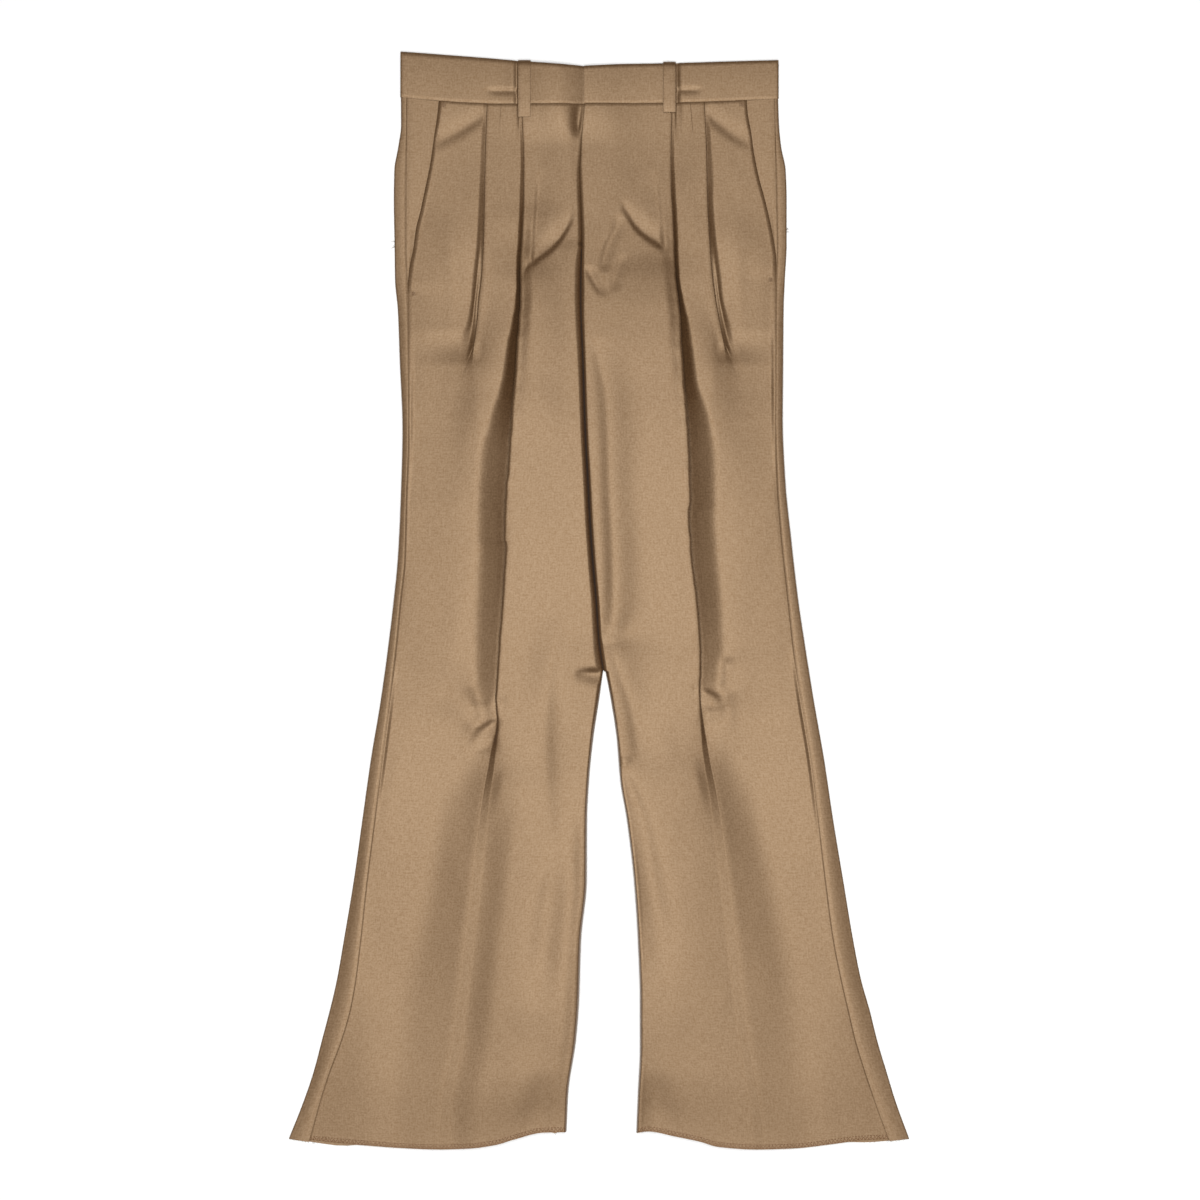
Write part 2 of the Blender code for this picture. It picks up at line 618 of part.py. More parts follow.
def make_zip(collection, tape):
    """The closed zip that lies under the fly, its chain a low ridge along the tape."""
    rows = []
    for y in [488, 450, 410, 370, 354]:
        x = SIDES["left"] * middle_out("left", y)
        half, chain = ZIP_TAPE_WIDTH / 2, ZIP_CHAIN_WIDTH / 2
        steps = [(-half, 0), (-chain - 0.6, 0), (-chain, 1), (chain, 1), (chain + 0.6, 0), (half, 0)]
        rows.append([(x + out, y, ZIP_TAPE_MIDDLE + ZIP_CHAIN_HEIGHT * up) for out, up in steps])
    grid_surface("fly_zip", rows, collection, tape, ZIP_TAPE)


def make_hook(collection, metal):
    """The flat hook that holds the lapped waistband ends together."""
    middle = middle_out("left", WAIST_SEAM)
    x = middle + BAND_LAP * 0.55
    y = (waist_y("left", x) + band_top_y("left", x)) / 2
    z = (BAND_FRONT_MIDDLE + BAND_LAP_MIDDLE) / 2
    bpy.ops.mesh.primitive_cube_add(size=1.0, location=(x * MM, y * MM, z * MM))
    hook = bpy.context.object
    hook.name = "waist_hook"
    hook.scale = [side * MM for side in HOOK_SIZE]
    bpy.ops.object.transform_apply(location=False, rotation=False, scale=True)
    rounding = hook.modifiers.new("Rounding", "BEVEL")
    rounding.width = 0.25 * MM
    rounding.segments = 1
    hook.data.materials.append(metal)
    for other in hook.users_collection:
        other.objects.unlink(hook)
    collection.objects.link(hook)


def cloth_material(name, metallic=0.0, roughness=0.85):
    material = bpy.data.materials.new(name)
    material.use_nodes = True
    shader = material.node_tree.nodes["Principled BSDF"]
    shader.inputs["Base Color"].default_value = COLOURS[name]
    shader.inputs["Roughness"].default_value = roughness
    shader.inputs["Metallic"].default_value = metallic
    return material


def main():
    for obj in list(bpy.data.objects):
        bpy.data.objects.remove(obj)
    trousers = bpy.data.collections.new("dress_trousers")
    bpy.context.scene.collection.children.link(trousers)
    suiting = cloth_material("suiting")
    loop_cloth = cloth_material("loop")
    make_backs(trousers, suiting)
    make_fronts(trousers, suiting)
    make_pocket_facings(trousers, suiting)
    make_waistband(trousers, suiting)
    make_front_loops(trousers, loop_cloth)
    make_back_loops(trousers, loop_cloth)
    make_zip(trousers, cloth_material("zip"))
    make_hook(trousers, cloth_material("hook", metallic=1.0, roughness=0.4))


main()
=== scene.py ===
"""Looks of the pleated, flared dress trousers that lie flat on their back, front side up.

All sizes in the tables are millimetres and become metres in cloth_sheet and its kin. "out" is the
distance from the garment's middle line towards one side seam, and left and right are the wearer's.
"""

import math
import random
from collections import namedtuple

import bmesh
import bpy
import numpy as np
from mathutils import Matrix, Vector, noise
from mathutils.bvhtree import BVHTree


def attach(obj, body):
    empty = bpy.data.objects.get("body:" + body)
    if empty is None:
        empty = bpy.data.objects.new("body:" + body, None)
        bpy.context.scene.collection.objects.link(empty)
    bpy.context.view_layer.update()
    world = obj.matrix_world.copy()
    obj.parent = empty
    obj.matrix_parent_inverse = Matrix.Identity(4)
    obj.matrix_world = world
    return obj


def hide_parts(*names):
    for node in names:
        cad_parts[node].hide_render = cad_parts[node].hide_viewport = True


MM = 0.001
SIDES = {"right": -1.0, "left": 1.0}


def table(columns, *rows):
    """Rows of numbers whose columns have these names."""
    row = namedtuple("row", columns)
    return [row(*numbers) for numbers in rows]


def by_side(columns, right, left):
    return {"right": table(columns, *right), "left": table(columns, *left)}


# Cloth and seams
CLOTH = 0.7  # wall of the suiting, a little over its real 0.4 so that its edges show
BAND_WALL = 1.1  # waistband: cloth, stiffening and facing together
LOOP_WALL = 1.0
BACK_MIDDLE = 0.5
ROLL_RADIUS = 1.3  # of the back panel's turn round the outer edge
STRIP_MIDDLE = BACK_MIDDLE + 2 * ROLL_RADIUS
# How high the side seams (z) and the outer edges lie
SEAM_RISE = table(
    "y z edge",
    (495, STRIP_MIDDLE, 3), (330, 3.6, 3.3), (290, 5, 4.4), (240, 7.4, 6.7), (180, 9.2, 8.4), (100, 9.3, 8.5),
    (0, 8.2, 7.4), (-80, 7, 6), (-150, 6.2, 5), (-220, 5.2, 3.8), (-300, 5, 3), (-380, 5, 2.8),
    (-440, 4.6, 2.7), (-500, 3.6, 2.4), (-540, 3.2, 2.3),
)
# How far the cloth's edges sink at the side seams, at the pocket mouths and at the waist seam
SEAM_GROOVE = 0.4
MOUTH_GROOVE = 1.3
WAIST_GROOVE = 0.5
LIP_WIDTH = 1.3
SEAM_GAP = 0.15
FACING_RISE = 0.9  # how much higher a front lies where the pocket facing is under it
WAIST_SEAM = 495.0
HEM_LINE = -540.0
POCKET_END = {"right": 312.0, "left": 326.0}
WAIST_BEND = 60.0  # over this height the rows bend to the waist seam, and over the next one to the hem
HEM_BEND = 130.0
FRONT_REST = 2.3  # height of a front that lies pressed on its back, and the lowest that it goes
FRONT_LOWEST = 1.7
HEM_PRESS = 0.28  # share of its height over FRONT_REST that a front loses at the hem, over HEM_PRESS_RUN
HEM_PRESS_RUN = 70.0

# The garment's outline and its side seams, from the waist seam down to the hem
OUTLINE = by_side(
    "y outer seam",
    [
        (495, 199, 192.6), (470, 198.8, 192.8), (452, 201.5, 193), (430, 205.5, 193.2), (400, 206, 193.4),
        (356, 205.3, 193.5), (320, 204.8, 192.3), (290, 202, 191.8), (240, 200, 191), (170, 197.2, 190.7),
        (100, 199, 193.2), (40, 202, 194.8), (0, 206, 199), (-50, 212, 204), (-100, 219, 210),
        (-160, 229, 217.6), (-220, 237.5, 225.4), (-280, 246, 233), (-340, 256, 239.5), (-380, 263, 244.5),
        (-410, 270, 250), (-440, 278, 259), (-470, 286, 270.5), (-500, 296, 280.3), (-540, 311, 291),
    ],
    [
        (495, 178, 174.3), (470, 179, 174.7), (452, 181, 175), (430, 185.5, 175.4), (400, 186.5, 176),
        (356, 186.5, 176.8), (320, 184.7, 176), (290, 183.5, 175.7), (240, 183, 175.4), (180, 182.5, 175.2),
        (120, 185, 177), (60, 191, 181.5), (0, 198, 188), (-50, 205.5, 193.5), (-100, 213.5, 201),
        (-160, 224, 211), (-220, 233, 218.4), (-280, 243, 225.6), (-340, 253, 233.6), (-380, 261, 241.5),
        (-410, 269.5, 248.4), (-440, 277, 255.6), (-470, 286, 264.8), (-500, 295, 275), (-540, 309, 289.5),
    ],
)

# The middle line: fly edge and crotch seam, then the two inseams side by side until they part
MIDDLE = table(
    "y x",
    (495, -15.5), (480, -17), (450, -19), (430, -20), (400, -19), (360, -18), (330, -18.8), (300, -19.3),
    (240, -17.1), (160, -14.3), (120, -12), (80, -10), (40, -7.3), (0, -3.8), (-40, -1), (-70, 3.2),
)
INSEAM = by_side(
    "y out",
    [
        (-70, -3.2), (-100, 1), (-140, 7), (-180, 11), (-220, 13), (-280, 13.3), (-340, 19), (-400, 21),
        (-440, 24), (-500, 31.8), (-540, 33.5),
    ],
    [
        (-70, 5.2), (-100, 11), (-140, 17), (-180, 20.3), (-220, 27), (-280, 34), (-340, 38), (-400, 40),
        (-450, 40), (-500, 38), (-540, 36.5),
    ],
)

# The slanted pocket mouths
MOUTH = by_side(
    "y out",
    [
        (500, 160.4), (483, 162), (458, 166), (435, 169.5), (413, 174), (388, 179.3), (371, 183.5),
        (351, 186.3), (329, 190.5), (312, 192.2),
    ],
    [
        (500, 146), (483, 147.2), (466, 150.5), (444, 154), (420, 159), (402, 164), (381, 169), (355, 174),
        (342, 175.8), (326, 176),
    ],
)

# Folds that turn the cloth back on itself. line is the edge as seen from above, depth how far the
# cloth goes back under it (an open slope where negative), low the height at its foot and rise the
# step up to the cloth inside it, which climbs by lift a little further in. radius is that of its
# turns, valley the width of the slope down to its foot and brow the height where that slope starts.
CREASE = by_side(
    "y line depth low rise radius valley brow lift",
    [
        (495, 78.5, 13, 2.2, 1.2, 0.5, 3, 2.7, 0), (470, 77.4, 12, 2.3, 1.4, 0.65, 3, 2.9, 0),
        (440, 76.2, 11, 2.3, 1.8, 0.8, 3, 3.4, 0), (400, 76.4, 9, 2.3, 2.6, 1, 4, 4.4, 0.2),
        (380, 77, 8, 2.3, 3.6, 1.1, 4, 5.4, 0.6), (360, 78, 7.5, 2.3, 4, 1.2, 4, 5.8, 1),
        (340, 79, 7, 2.3, 5.6, 1.4, 4, 6.8, 1.4), (320, 79.4, 6, 2.3, 8.2, 1.6, 4, 8.1, 1.7),
        (300, 79.3, 5.5, 2.2, 10, 1.8, 5, 8.8, 1.8), (280, 80.2, 5, 2.2, 11.4, 1.8, 7, 9.8, 1.5),
        (260, 82, 5, 2.2, 12.6, 1.9, 10, 11, 1.2), (220, 84.6, 4.5, 2.2, 14.4, 2, 14, 12.6, 0.5),
        (180, 88, 4, 2.2, 15.6, 2, 24, 12.8, 0.2), (140, 90.5, 3.5, 2.2, 15.6, 2, 33, 12.6, 0),
        (100, 94, 3, 2.2, 15.2, 2, 32, 12.4, 0), (62, 95, 2.5, 2.2, 14.8, 2, 31, 12, 0),
        (55, 93.6, 2.5, 2.2, 14.6, 2, 31, 12, 0), (40, 94.4, 2.5, 2.2, 14.2, 2, 31, 11.8, 0),
        (0, 97, 2, 2.3, 13, 2, 30, 11, 0), (-40, 100, 1.2, 2.5, 11.4, 2, 28, 10, 0),
        (-80, 102.6, 0, 2.6, 9, 2, 25, 9, 0.1), (-100, 104, -1.5, 2.8, 7.6, 2, 26, 8.6, 0.1),
        (-122, 102.2, -3.5, 3, 6.4, 2, 27, 8, 0), (-160, 106.5, -6, 5.6, 2.6, 2, 32, 7, 0),
        (-200, 112.4, -7, 8.6, 0.9, 2, 42, 5.8, 2.6), (-244, 117, -8, 9.8, 0.6, 2, 46, 5.2, 2.6),
        (-300, 123, -8.5, 10.4, 0.6, 2, 50, 4.9, 2.6), (-340, 127.5, -9, 10.6, 0.6, 2, 54, 4.9, 2.6),
        (-370, 131, -9, 10.4, 0.6, 2, 56, 4.9, 2.6), (-400, 134.5, -9, 10.2, 0.6, 2, 58, 5.2, 2.6),
        (-448, 140.8, -9, 9.8, 0.6, 2, 54, 5.8, 0.8), (-495, 151, -9, 9.2, 0.6, 2, 50, 6.4, 1.4),
        (-540, 153.5, -9, 8.8, 0.6, 2, 46, 6.4, 0),
    ],
    [
        (495, 72, 13, 2.2, 1.2, 0.5, 3, 2.7, 0), (465, 71.4, 12, 2.3, 1.4, 0.65, 3, 2.9, 0),
        (440, 71, 11, 2.3, 1.8, 0.8, 3, 3.4, 0), (416, 71.2, 10, 2.3, 2.6, 0.9, 4, 4.4, 0.1),
        (380, 73, 8, 2.3, 3.6, 1.1, 4, 5.4, 0.6), (350, 74, 7, 2.3, 4.6, 1.3, 4, 6.4, 1.2),
        (320, 75.6, 6, 2.3, 8, 1.6, 4, 8.1, 1.6), (300, 78, 5.5, 2.2, 9.8, 1.8, 5, 8.8, 1.8),
        (280, 79.8, 5, 2.2, 11.2, 1.8, 8, 9.8, 1.5), (260, 81, 5, 2.2, 12.4, 1.9, 11, 11, 1.2),
        (220, 83.2, 4.5, 2.2, 14.2, 2, 14, 12.6, 0.5), (180, 86.8, 4, 2.2, 15.2, 2, 25, 12.8, 0.2),
        (140, 89, 3.5, 2.2, 15.4, 2, 30, 12.6, 0), (100, 90.2, 3, 2.2, 15, 2, 29, 12.4, 0),
        (88, 88.6, 2.8, 2.2, 14.8, 2, 30, 12.2, 0), (60, 90.2, 2.5, 2.2, 14.6, 2, 30, 12, 0),
        (20, 94, 2.2, 2.3, 13.6, 2, 29, 11.4, 0), (0, 96.6, 2, 2.3, 13, 2, 28, 11, 0),
        (-40, 99.8, 1, 2.5, 11.2, 2, 27, 9.8, 0), (-66, 100.6, 0, 2.6, 9.2, 2, 26, 9, 0.1),
        (-90, 99.8, -1.5, 2.8, 7.8, 2, 28, 8.6, 0.1), (-115, 101, -3.5, 3, 6.4, 2, 30, 8, 0),
        (-150, 104, -6, 5.6, 2.6, 2, 34, 7, 0), (-200, 112.4, -7, 8.8, 0.9, 2, 42, 5.6, 2.6),
        (-240, 117.2, -8, 9.9, 0.6, 2, 44, 5.1, 2.6), (-300, 124.4, -8.5, 10.5, 0.6, 2, 50, 4.9, 2.6),
        (-340, 129, -9, 10.6, 0.6, 2, 54, 4.9, 2.6), (-370, 132.2, -9, 10.4, 0.6, 2, 56, 4.9, 2.6),
        (-400, 135.6, -9, 10.2, 0.6, 2, 58, 5.2, 2.6), (-446, 142.6, -9, 9.8, 0.6, 2, 56, 5.8, 0.8),
        (-504, 153, -9, 9.2, 0.6, 2, 50, 6.4, 0), (-540, 157, -9, 8.8, 0.6, 2, 46, 6.4, 0),
    ],
)
PLEAT = by_side(
    "y line depth low rise radius valley brow lift",
    [
        (495, 112.7, 13, 2.2, 1.3, 0.5, 4, 2.8, 0), (444, 114.6, 12, 2.3, 2.2, 0.65, 5, 3.4, 0),
        (400, 115.4, 10, 2.3, 3.4, 0.8, 6, 4.6, 0.2), (360, 116.2, 7, 2.3, 4.8, 0.9, 7, 6.2, 0.4),
        (320, 118.6, 5, 2.4, 5.7, 1, 9, 7, 0.4), (300, 121, 3.5, 2.6, 5.9, 1, 8, 7.4, 0.3),
        (280, 122.6, 2, 3, 5.6, 1, 10, 7.8, 0.2), (260, 125, 0, 4, 4.2, 1.1, 15, 8, 0),
        (240, 128, -5, 6, 2.4, 1.6, 12, 8, 0), (200, 131, -16, 8, 0.8, 2, 12, 8.2, 0),
        (120, 146, -24, 7.6, 1.4, 3, 12, 7.6, 0), (-100, 168, -26, 6, 1.2, 3, 12, 6, 0),
        (-300, 196, -26, 8, 1.2, 3, 12, 8, 0), (-540, 232, -26, 5, 1.2, 3, 12, 5, 0),
    ],
    [
        (495, 104, 13, 2.2, 1.3, 0.5, 4, 2.8, 0), (460, 106, 12, 2.3, 2.2, 0.65, 5, 3.4, 0),
        (420, 107, 10, 2.3, 3, 0.75, 7, 4.2, 0.1), (400, 107.4, 9, 2.3, 3.4, 0.8, 6, 4.6, 0.2),
        (360, 109.4, 7, 2.3, 4.8, 0.9, 7, 6.2, 0.4), (320, 112.6, 5, 2.4, 5.7, 1, 9, 7, 0.4),
        (300, 115.4, 3.5, 2.6, 5.9, 1, 8, 7.4, 0.3), (280, 119, 2, 3, 5.6, 1, 10, 7.8, 0.2),
        (262, 122.5, 0, 4, 4.2, 1.1, 11, 8, 0), (244, 126, -5, 6, 2.4, 1.6, 11, 8, 0),
        (200, 129, -15, 8, 0.8, 2, 12, 8.2, 0), (120, 140, -22, 7.6, 1.4, 3, 12, 7.6, 0),
        (-100, 162, -24, 6, 1.2, 3, 12, 6, 0), (-300, 190, -24, 8, 1.2, 3, 12, 8, 0),
        (-540, 232, -26, 5, 1.2, 3, 12, 5, 0),
    ],
)
# Below the pleats: how wide the cloth's climb from the side seam is
FLANK = by_side(
    "y run",
    [
        (300, 60), (200, 68), (100, 70), (-60, 56), (-120, 30), (-180, 14), (-250, 12), (-300, 12), (-350, 14),
        (-400, 20), (-440, 30), (-480, 44), (-540, 60),
    ],
    [
        (300, 58), (200, 64), (100, 66), (-60, 56), (-120, 30), (-180, 14), (-250, 13), (-300, 12), (-360, 14),
        (-400, 20), (-440, 30), (-480, 44), (-540, 58),
    ],
)
# In the thighs the cloth falls gently by EASE_FALL over EASE_RUN, before its steep slope to the crease
EASE_RUN = 24.0
EASE_FALL = 0.5
# The gentle rim of the right leg's inner edge: how far it falls, and over what width
RIM_FALL = {"right": 1.8, "left": 0.0}
RIM_RUN = 9.0
# A crease's lift is climbed over the first width above the knee and over the second one below it
LIFT_RUN = 11.0
SHIN_LIFT_RUN = 60.0
# Between these heights the pleats open out into the flank
PLEATS_CLOSED = 285.0
PLEATS_OPEN = 215.0
FOOT_GAP = 0.6  # from a fold's edge to the foot of the cloth outside it
PUCKER_ASIDE = 0.55  # unevenness of the pressed crease, in place and in height
PUCKER_HEIGHT = 0.4
PUCKER_SEED = {"right": 9.0, "left": 4.0}
CLOTH_SEED = {"right": 11.0, "left": 3.0}
BAND_SEED = {"right": 29.0, "left": 17.0}

# How a front ends at the middle: past is how far it goes beyond the middle line, end the height of
# its edge, shoulder that of the cloth before it turns down, run the width of the turn.
ENDING = by_side(
    "y past end shoulder run",
    [
        (495, 8, 3, 4.4, 8), (465, 8, 2.6, 5.2, 5), (440, 8, 2.3, 5.4, 4), (362, 8, 2.3, 7.4, 4),
        (349, -0.3, 2.3, 8.6, 5), (332, -0.3, 2, 9.8, 7), (310, -0.3, 3, 11.2, 7), (290, -0.3, 5, 12.3, 6.5),
        (260, -0.3, 6, 13.7, 6), (220, -0.3, 4.9, 15, 5.2), (160, -0.3, 5.6, 16.4, 5),
        (60, -0.3, 4.5, 15.4, 5), (-30, -0.3, 3, 12.4, 6), (-62, -0.3, 0.9, 9.6, 8), (-80, -0.3, 1.4, 8.6, 5),
        (-120, -0.3, 1.4, 11, 3.5), (-160, -0.3, 1.4, 12, 2.6), (-220, -0.3, 1.4, 13.4, 2.4),
        (-300, -0.3, 1.4, 15, 2.4), (-400, -0.3, 1.4, 15.2, 2.4), (-470, -0.3, 1.4, 13.6, 2.4),
        (-540, -0.3, 1.4, 12, 2.4),
    ],
    [
        (495, -0.3, 5, 5.4, 4), (455, -0.4, 5.6, 5.9, 3), (430, -0.4, 5.4, 6.4, 3), (380, -0.4, 5.4, 7.6, 3),
        (358, -0.4, 5.4, 8.7, 3), (342, -0.4, 5.2, 9.6, 3), (326, -0.3, 4, 10.6, 3.5),
        (310, -0.3, 3.4, 11.5, 4), (280, -0.3, 5, 13, 3.4), (220, -0.3, 4.9, 15, 2.8),
        (160, -0.3, 5.6, 16.4, 2.8), (60, -0.3, 4.5, 15.4, 2.8), (-30, -0.3, 3, 12, 3.4),
        (-62, -0.3, 0.9, 8.6, 4), (-80, -0.3, 1.4, 8.8, 3), (-140, -0.3, 1.4, 12.2, 2),
        (-200, -0.3, 1.4, 13.8, 1.8), (-300, -0.3, 1.4, 15.8, 1.8), (-400, -0.3, 1.4, 15.8, 1.8),
        (-470, -0.3, 1.4, 14.2, 1.8), (-540, -0.3, 1.4, 12.6, 1.8),
    ],
)

# Soft ridges (height above 0) and troughs (below 0) that run down the cloth; inner and outer are how
# far they reach towards the middle and towards the side
DOWN_COLUMNS = "y out inner outer height"
DOWN_FOLDS = {
    "right": {
        "gathered top of the fly": [
            (497, 20, 5, 6, 0), (490, 20, 5, 6, -1.8), (476, 21, 4, 6, -2.2), (462, 22, 4, 6, 0),
        ],
        "dip towards the fly's top": [
            (500, 15, 4, 13, -2), (480, 16, 4, 12, -2), (462, 18, 4, 10, -1.4), (440, 19, 4, 10, -1),
            (400, 19, 4, 8, 0),
        ],
        "hollow above the crease's pull": [
            (430, 66, 16, 8, 0), (400, 69, 16, 8, -0.9), (370, 70, 14, 8, -1.1), (346, 70, 12, 8, 0),
        ],
        "hollow below the outer pleat": [
            (270, 146, 26, 40, 0), (245, 146, 30, 46, -1.8), (215, 146, 32, 50, -2.8),
            (180, 150, 26, 50, -2.2), (140, 152, 24, 50, -1), (95, 154, 22, 50, 0),
        ],
        "soft slope outside the outer pleat": [
            (400, 118, 3, 24, 0), (360, 120, 3, 30, -0.8), (320, 123, 3, 38, -2.2), (290, 126, 3, 42, -3),
            (262, 129, 5, 42, -2.6), (235, 134, 12, 40, 0),
        ],
        "fall outside the knee": [
            (-60, 150, 18, 60, 0), (-95, 146, 22, 64, -2), (-130, 141, 25, 68, -4.4),
            (-160, 140, 30, 70, -4.6), (-190, 141, 32, 70, -3.2), (-230, 143, 32, 70, -1.2),
            (-262, 145, 32, 70, 0),
        ],
        "knee hollow, inner": [
            (-15, 42, 10, 20, 0), (-40, 46, 10, 20, -1), (-80, 54, 10, 22, -1.4), (-140, 56, 10, 22, -1.2),
            (-200, 54, 10, 20, -1), (-250, 50, 9, 18, 0),
        ],
        "shin hollow": [
            (-246, 44, 12, 8, 0), (-266, 46, 12, 9, -0.6), (-300, 51, 16, 13, -1.9), (-340, 55, 17, 15, -2),
            (-380, 60, 17, 15, -0.9), (-410, 64, 15, 14, 0),
        ],
        "hem hollow, inner": [
            (-440, 44, 14, 12, 0), (-470, 50, 14, 14, -0.6), (-500, 56, 14, 17, -1.7),
            (-520, 57, 15, 22, -2.2), (-545, 58, 16, 28, -2.2),
        ],
        "knee dent": [
            (-86, 129, 5, 9, 0), (-100, 129, 6, 9, -1.6), (-114, 126, 6, 9, -1.5), (-126, 124, 5, 8, 0),
        ],
        "hip ripple": [(380, 150, 9, 9, 0), (340, 147, 9, 9, 0.6), (300, 144, 9, 9, 0.6), (250, 150, 9, 9, 0)],
    },
    "left": {
        "hollow above the crease's pull": [
            (430, 60, 16, 8, 0), (405, 63, 16, 8, -0.9), (372, 65, 14, 8, -1.1), (350, 66, 12, 8, 0),
        ],
        "hollow below the outer pleat": [
            (270, 140, 26, 40, 0), (245, 140, 30, 46, -1.6), (215, 142, 30, 50, -2.5),
            (180, 144, 26, 50, -1.6), (140, 146, 22, 50, -0.5), (105, 148, 22, 50, 0),
        ],
        "soft slope outside the outer pleat": [
            (400, 110, 3, 24, 0), (360, 112, 3, 30, -0.8), (320, 117, 3, 38, -2.2), (290, 120, 3, 42, -3),
            (262, 125, 5, 42, -2.6), (235, 130, 12, 40, 0),
        ],
        "fall outside the knee": [
            (-46, 148, 18, 60, 0), (-80, 144, 22, 64, -2), (-120, 140, 26, 68, -4.4),
            (-155, 140, 32, 70, -4.6), (-190, 141, 32, 70, -3.2), (-230, 143, 32, 70, -1.2),
            (-262, 145, 32, 70, 0),
        ],
        "slope beside the inner edge": [
            (262, -4, 6, 16, 0), (240, 1, 8, 18, -1.2), (200, 8, 9, 20, -2.2), (160, 10, 9, 20, -2.4),
            (100, 12, 9, 18, -2.6), (60, 14, 9, 18, -2.7), (20, 15, 9, 18, -2.8), (0, 15, 9, 18, -2.7),
            (-20, 14, 9, 14, -2.2), (-36, 11, 8, 10, 0),
        ],
        "knee hollow, inner": [
            (-36, 14, 6, 12, 0), (-50, 16, 7, 16, -1), (-80, 24, 8, 18, -1.4), (-100, 31, 8, 18, -1.4),
            (-140, 38, 8, 18, -1.2), (-172, 42, 8, 18, 0),
        ],
        "shin hollow": [
            (-166, 20, 8, 5, 0), (-180, 27, 10, 6, -0.8), (-200, 35, 12, 7, -1.1), (-220, 41, 13, 9, -1.2),
            (-260, 47, 15, 12, -2), (-300, 54, 16, 14, -2.2), (-340, 59, 17, 15, -1.4), (-385, 62, 16, 15, 0),
        ],
        "hem hollow, inner": [
            (-440, 44, 14, 12, 0), (-470, 50, 14, 14, -0.6), (-500, 55, 14, 17, -1.7),
            (-520, 56, 15, 22, -2.2), (-545, 57, 16, 28, -2.2),
        ],
        "knee dent": [(-56, 126, 5, 9, 0), (-66, 126, 5, 9, -1.5), (-84, 125, 5, 9, -1.5), (-94, 122, 5, 8, 0)],
        "crease under the fly": [
            (386, 18, 3, 7, 0), (372, 16, 3, 8, -0.8), (355, 8, 3, 8, -1), (336, 3, 3, 8, -0.9),
            (326, 2, 3, 7, 0),
        ],
        "second crease under the fly": [
            (346, 22, 3, 7, 0), (334, 18, 3, 8, -0.7), (318, 13, 3, 8, -0.7), (306, 12, 3, 7, 0),
        ],
        "third crease under the fly": [
            (334, -13, 3, 6, 0), (324, -10, 3, 7, -1), (312, -3, 3, 7, -1), (302, 2, 3, 6, 0),
        ],
        "hip ripple": [(380, 138, 9, 9, 0), (340, 136, 9, 9, 0.6), (300, 138, 9, 9, 0.6), (250, 142, 9, 9, 0)],
    },
}
# The same for creases that run across: above and below are how far they reach up and down
CROSS_COLUMNS = "out y above below height"
CROSS_FOLDS = {
    "right": {
        "pull from the fly to the crease": [
            (26, 383, 8, 4, 0), (32, 373, 11, 4, -0.9), (40, 361, 13, 4, -1.6), (50, 351, 14, 4.5, -1.8),
            (62, 342, 14, 4.5, -1.8), (72, 334, 13, 4, -1.5), (79, 325, 10, 4, 0),
        ],
        "drag fold from the pocket": [
            (110, 487, 8, 6, 0), (122, 479, 9, 6, -0.9), (140, 468, 10, 6, -1.1), (160, 458, 10, 6, -0.9),
            (178, 451, 9, 6, 0),
        ],
        "inner knee dent": [
            (-6, -72, 4, 9, -1.8), (4, -73, 4, 9, -2.8), (14, -73, 4, 8, -2), (25, -74, 4, 7, 0),
        ],
        "knee crumple, top": [
            (92, -100, 5, 7, 0), (104, -104, 6, 7, -0.9), (120, -107, 6, 7, -0.9), (136, -102, 5, 7, 0),
        ],
        "knee crumple, foot": [
            (100, -140, 8, 9, 0), (113, -142, 9, 10, -1.9), (120, -144, 9, 10, -1.8), (136, -142, 8, 9, 0),
        ],
        "knee crumple, groove": [
            (97, -121, 3, 7, 0), (106, -123, 3, 7, -1.6), (116, -129, 4, 8, -1.6), (128, -137, 4, 8, 0),
        ],
    },
    "left": {
        "pull from the fly to the crease": [
            (20, 396, 6, 4, 0), (27, 386, 9, 3.5, -1), (35, 374, 13, 3.5, -1.7), (45, 365, 14, 4, -1.8),
            (56, 358, 14, 4.5, -1.8), (66, 350, 13, 4, -1.5), (74, 340, 10, 4, 0),
        ],
        "drag fold from the pocket": [
            (96, 492, 8, 6, 0), (107, 483, 9, 6, -0.9), (122, 471, 10, 6, -1.1), (140, 460, 10, 6, -0.9),
            (160, 453, 9, 6, 0),
        ],
        "inner knee fold": [
            (-4, -31, 6, 4, 0), (2, -36, 7, 4, -1.1), (12, -37, 7, 4, -0.9), (26, -33, 6, 4, 0),
        ],
        "inner shin lip": [(18, -160, 4, 5, 0), (24, -160, 4, 5, 0.8), (32, -158, 4, 5, 0)],
        "knee crumple, groove": [
            (92, -88, 3, 8, 0), (102, -91, 3, 8, -1.6), (112, -96, 4, 8, -1.6), (122, -101, 4, 8, 0),
        ],
        "knee crumple, foot": [
            (94, -112, 6, 8, 0), (106, -113, 6, 9, -1.3), (118, -112, 6, 9, -1.2), (130, -108, 6, 8, 0),
        ],
    },
}

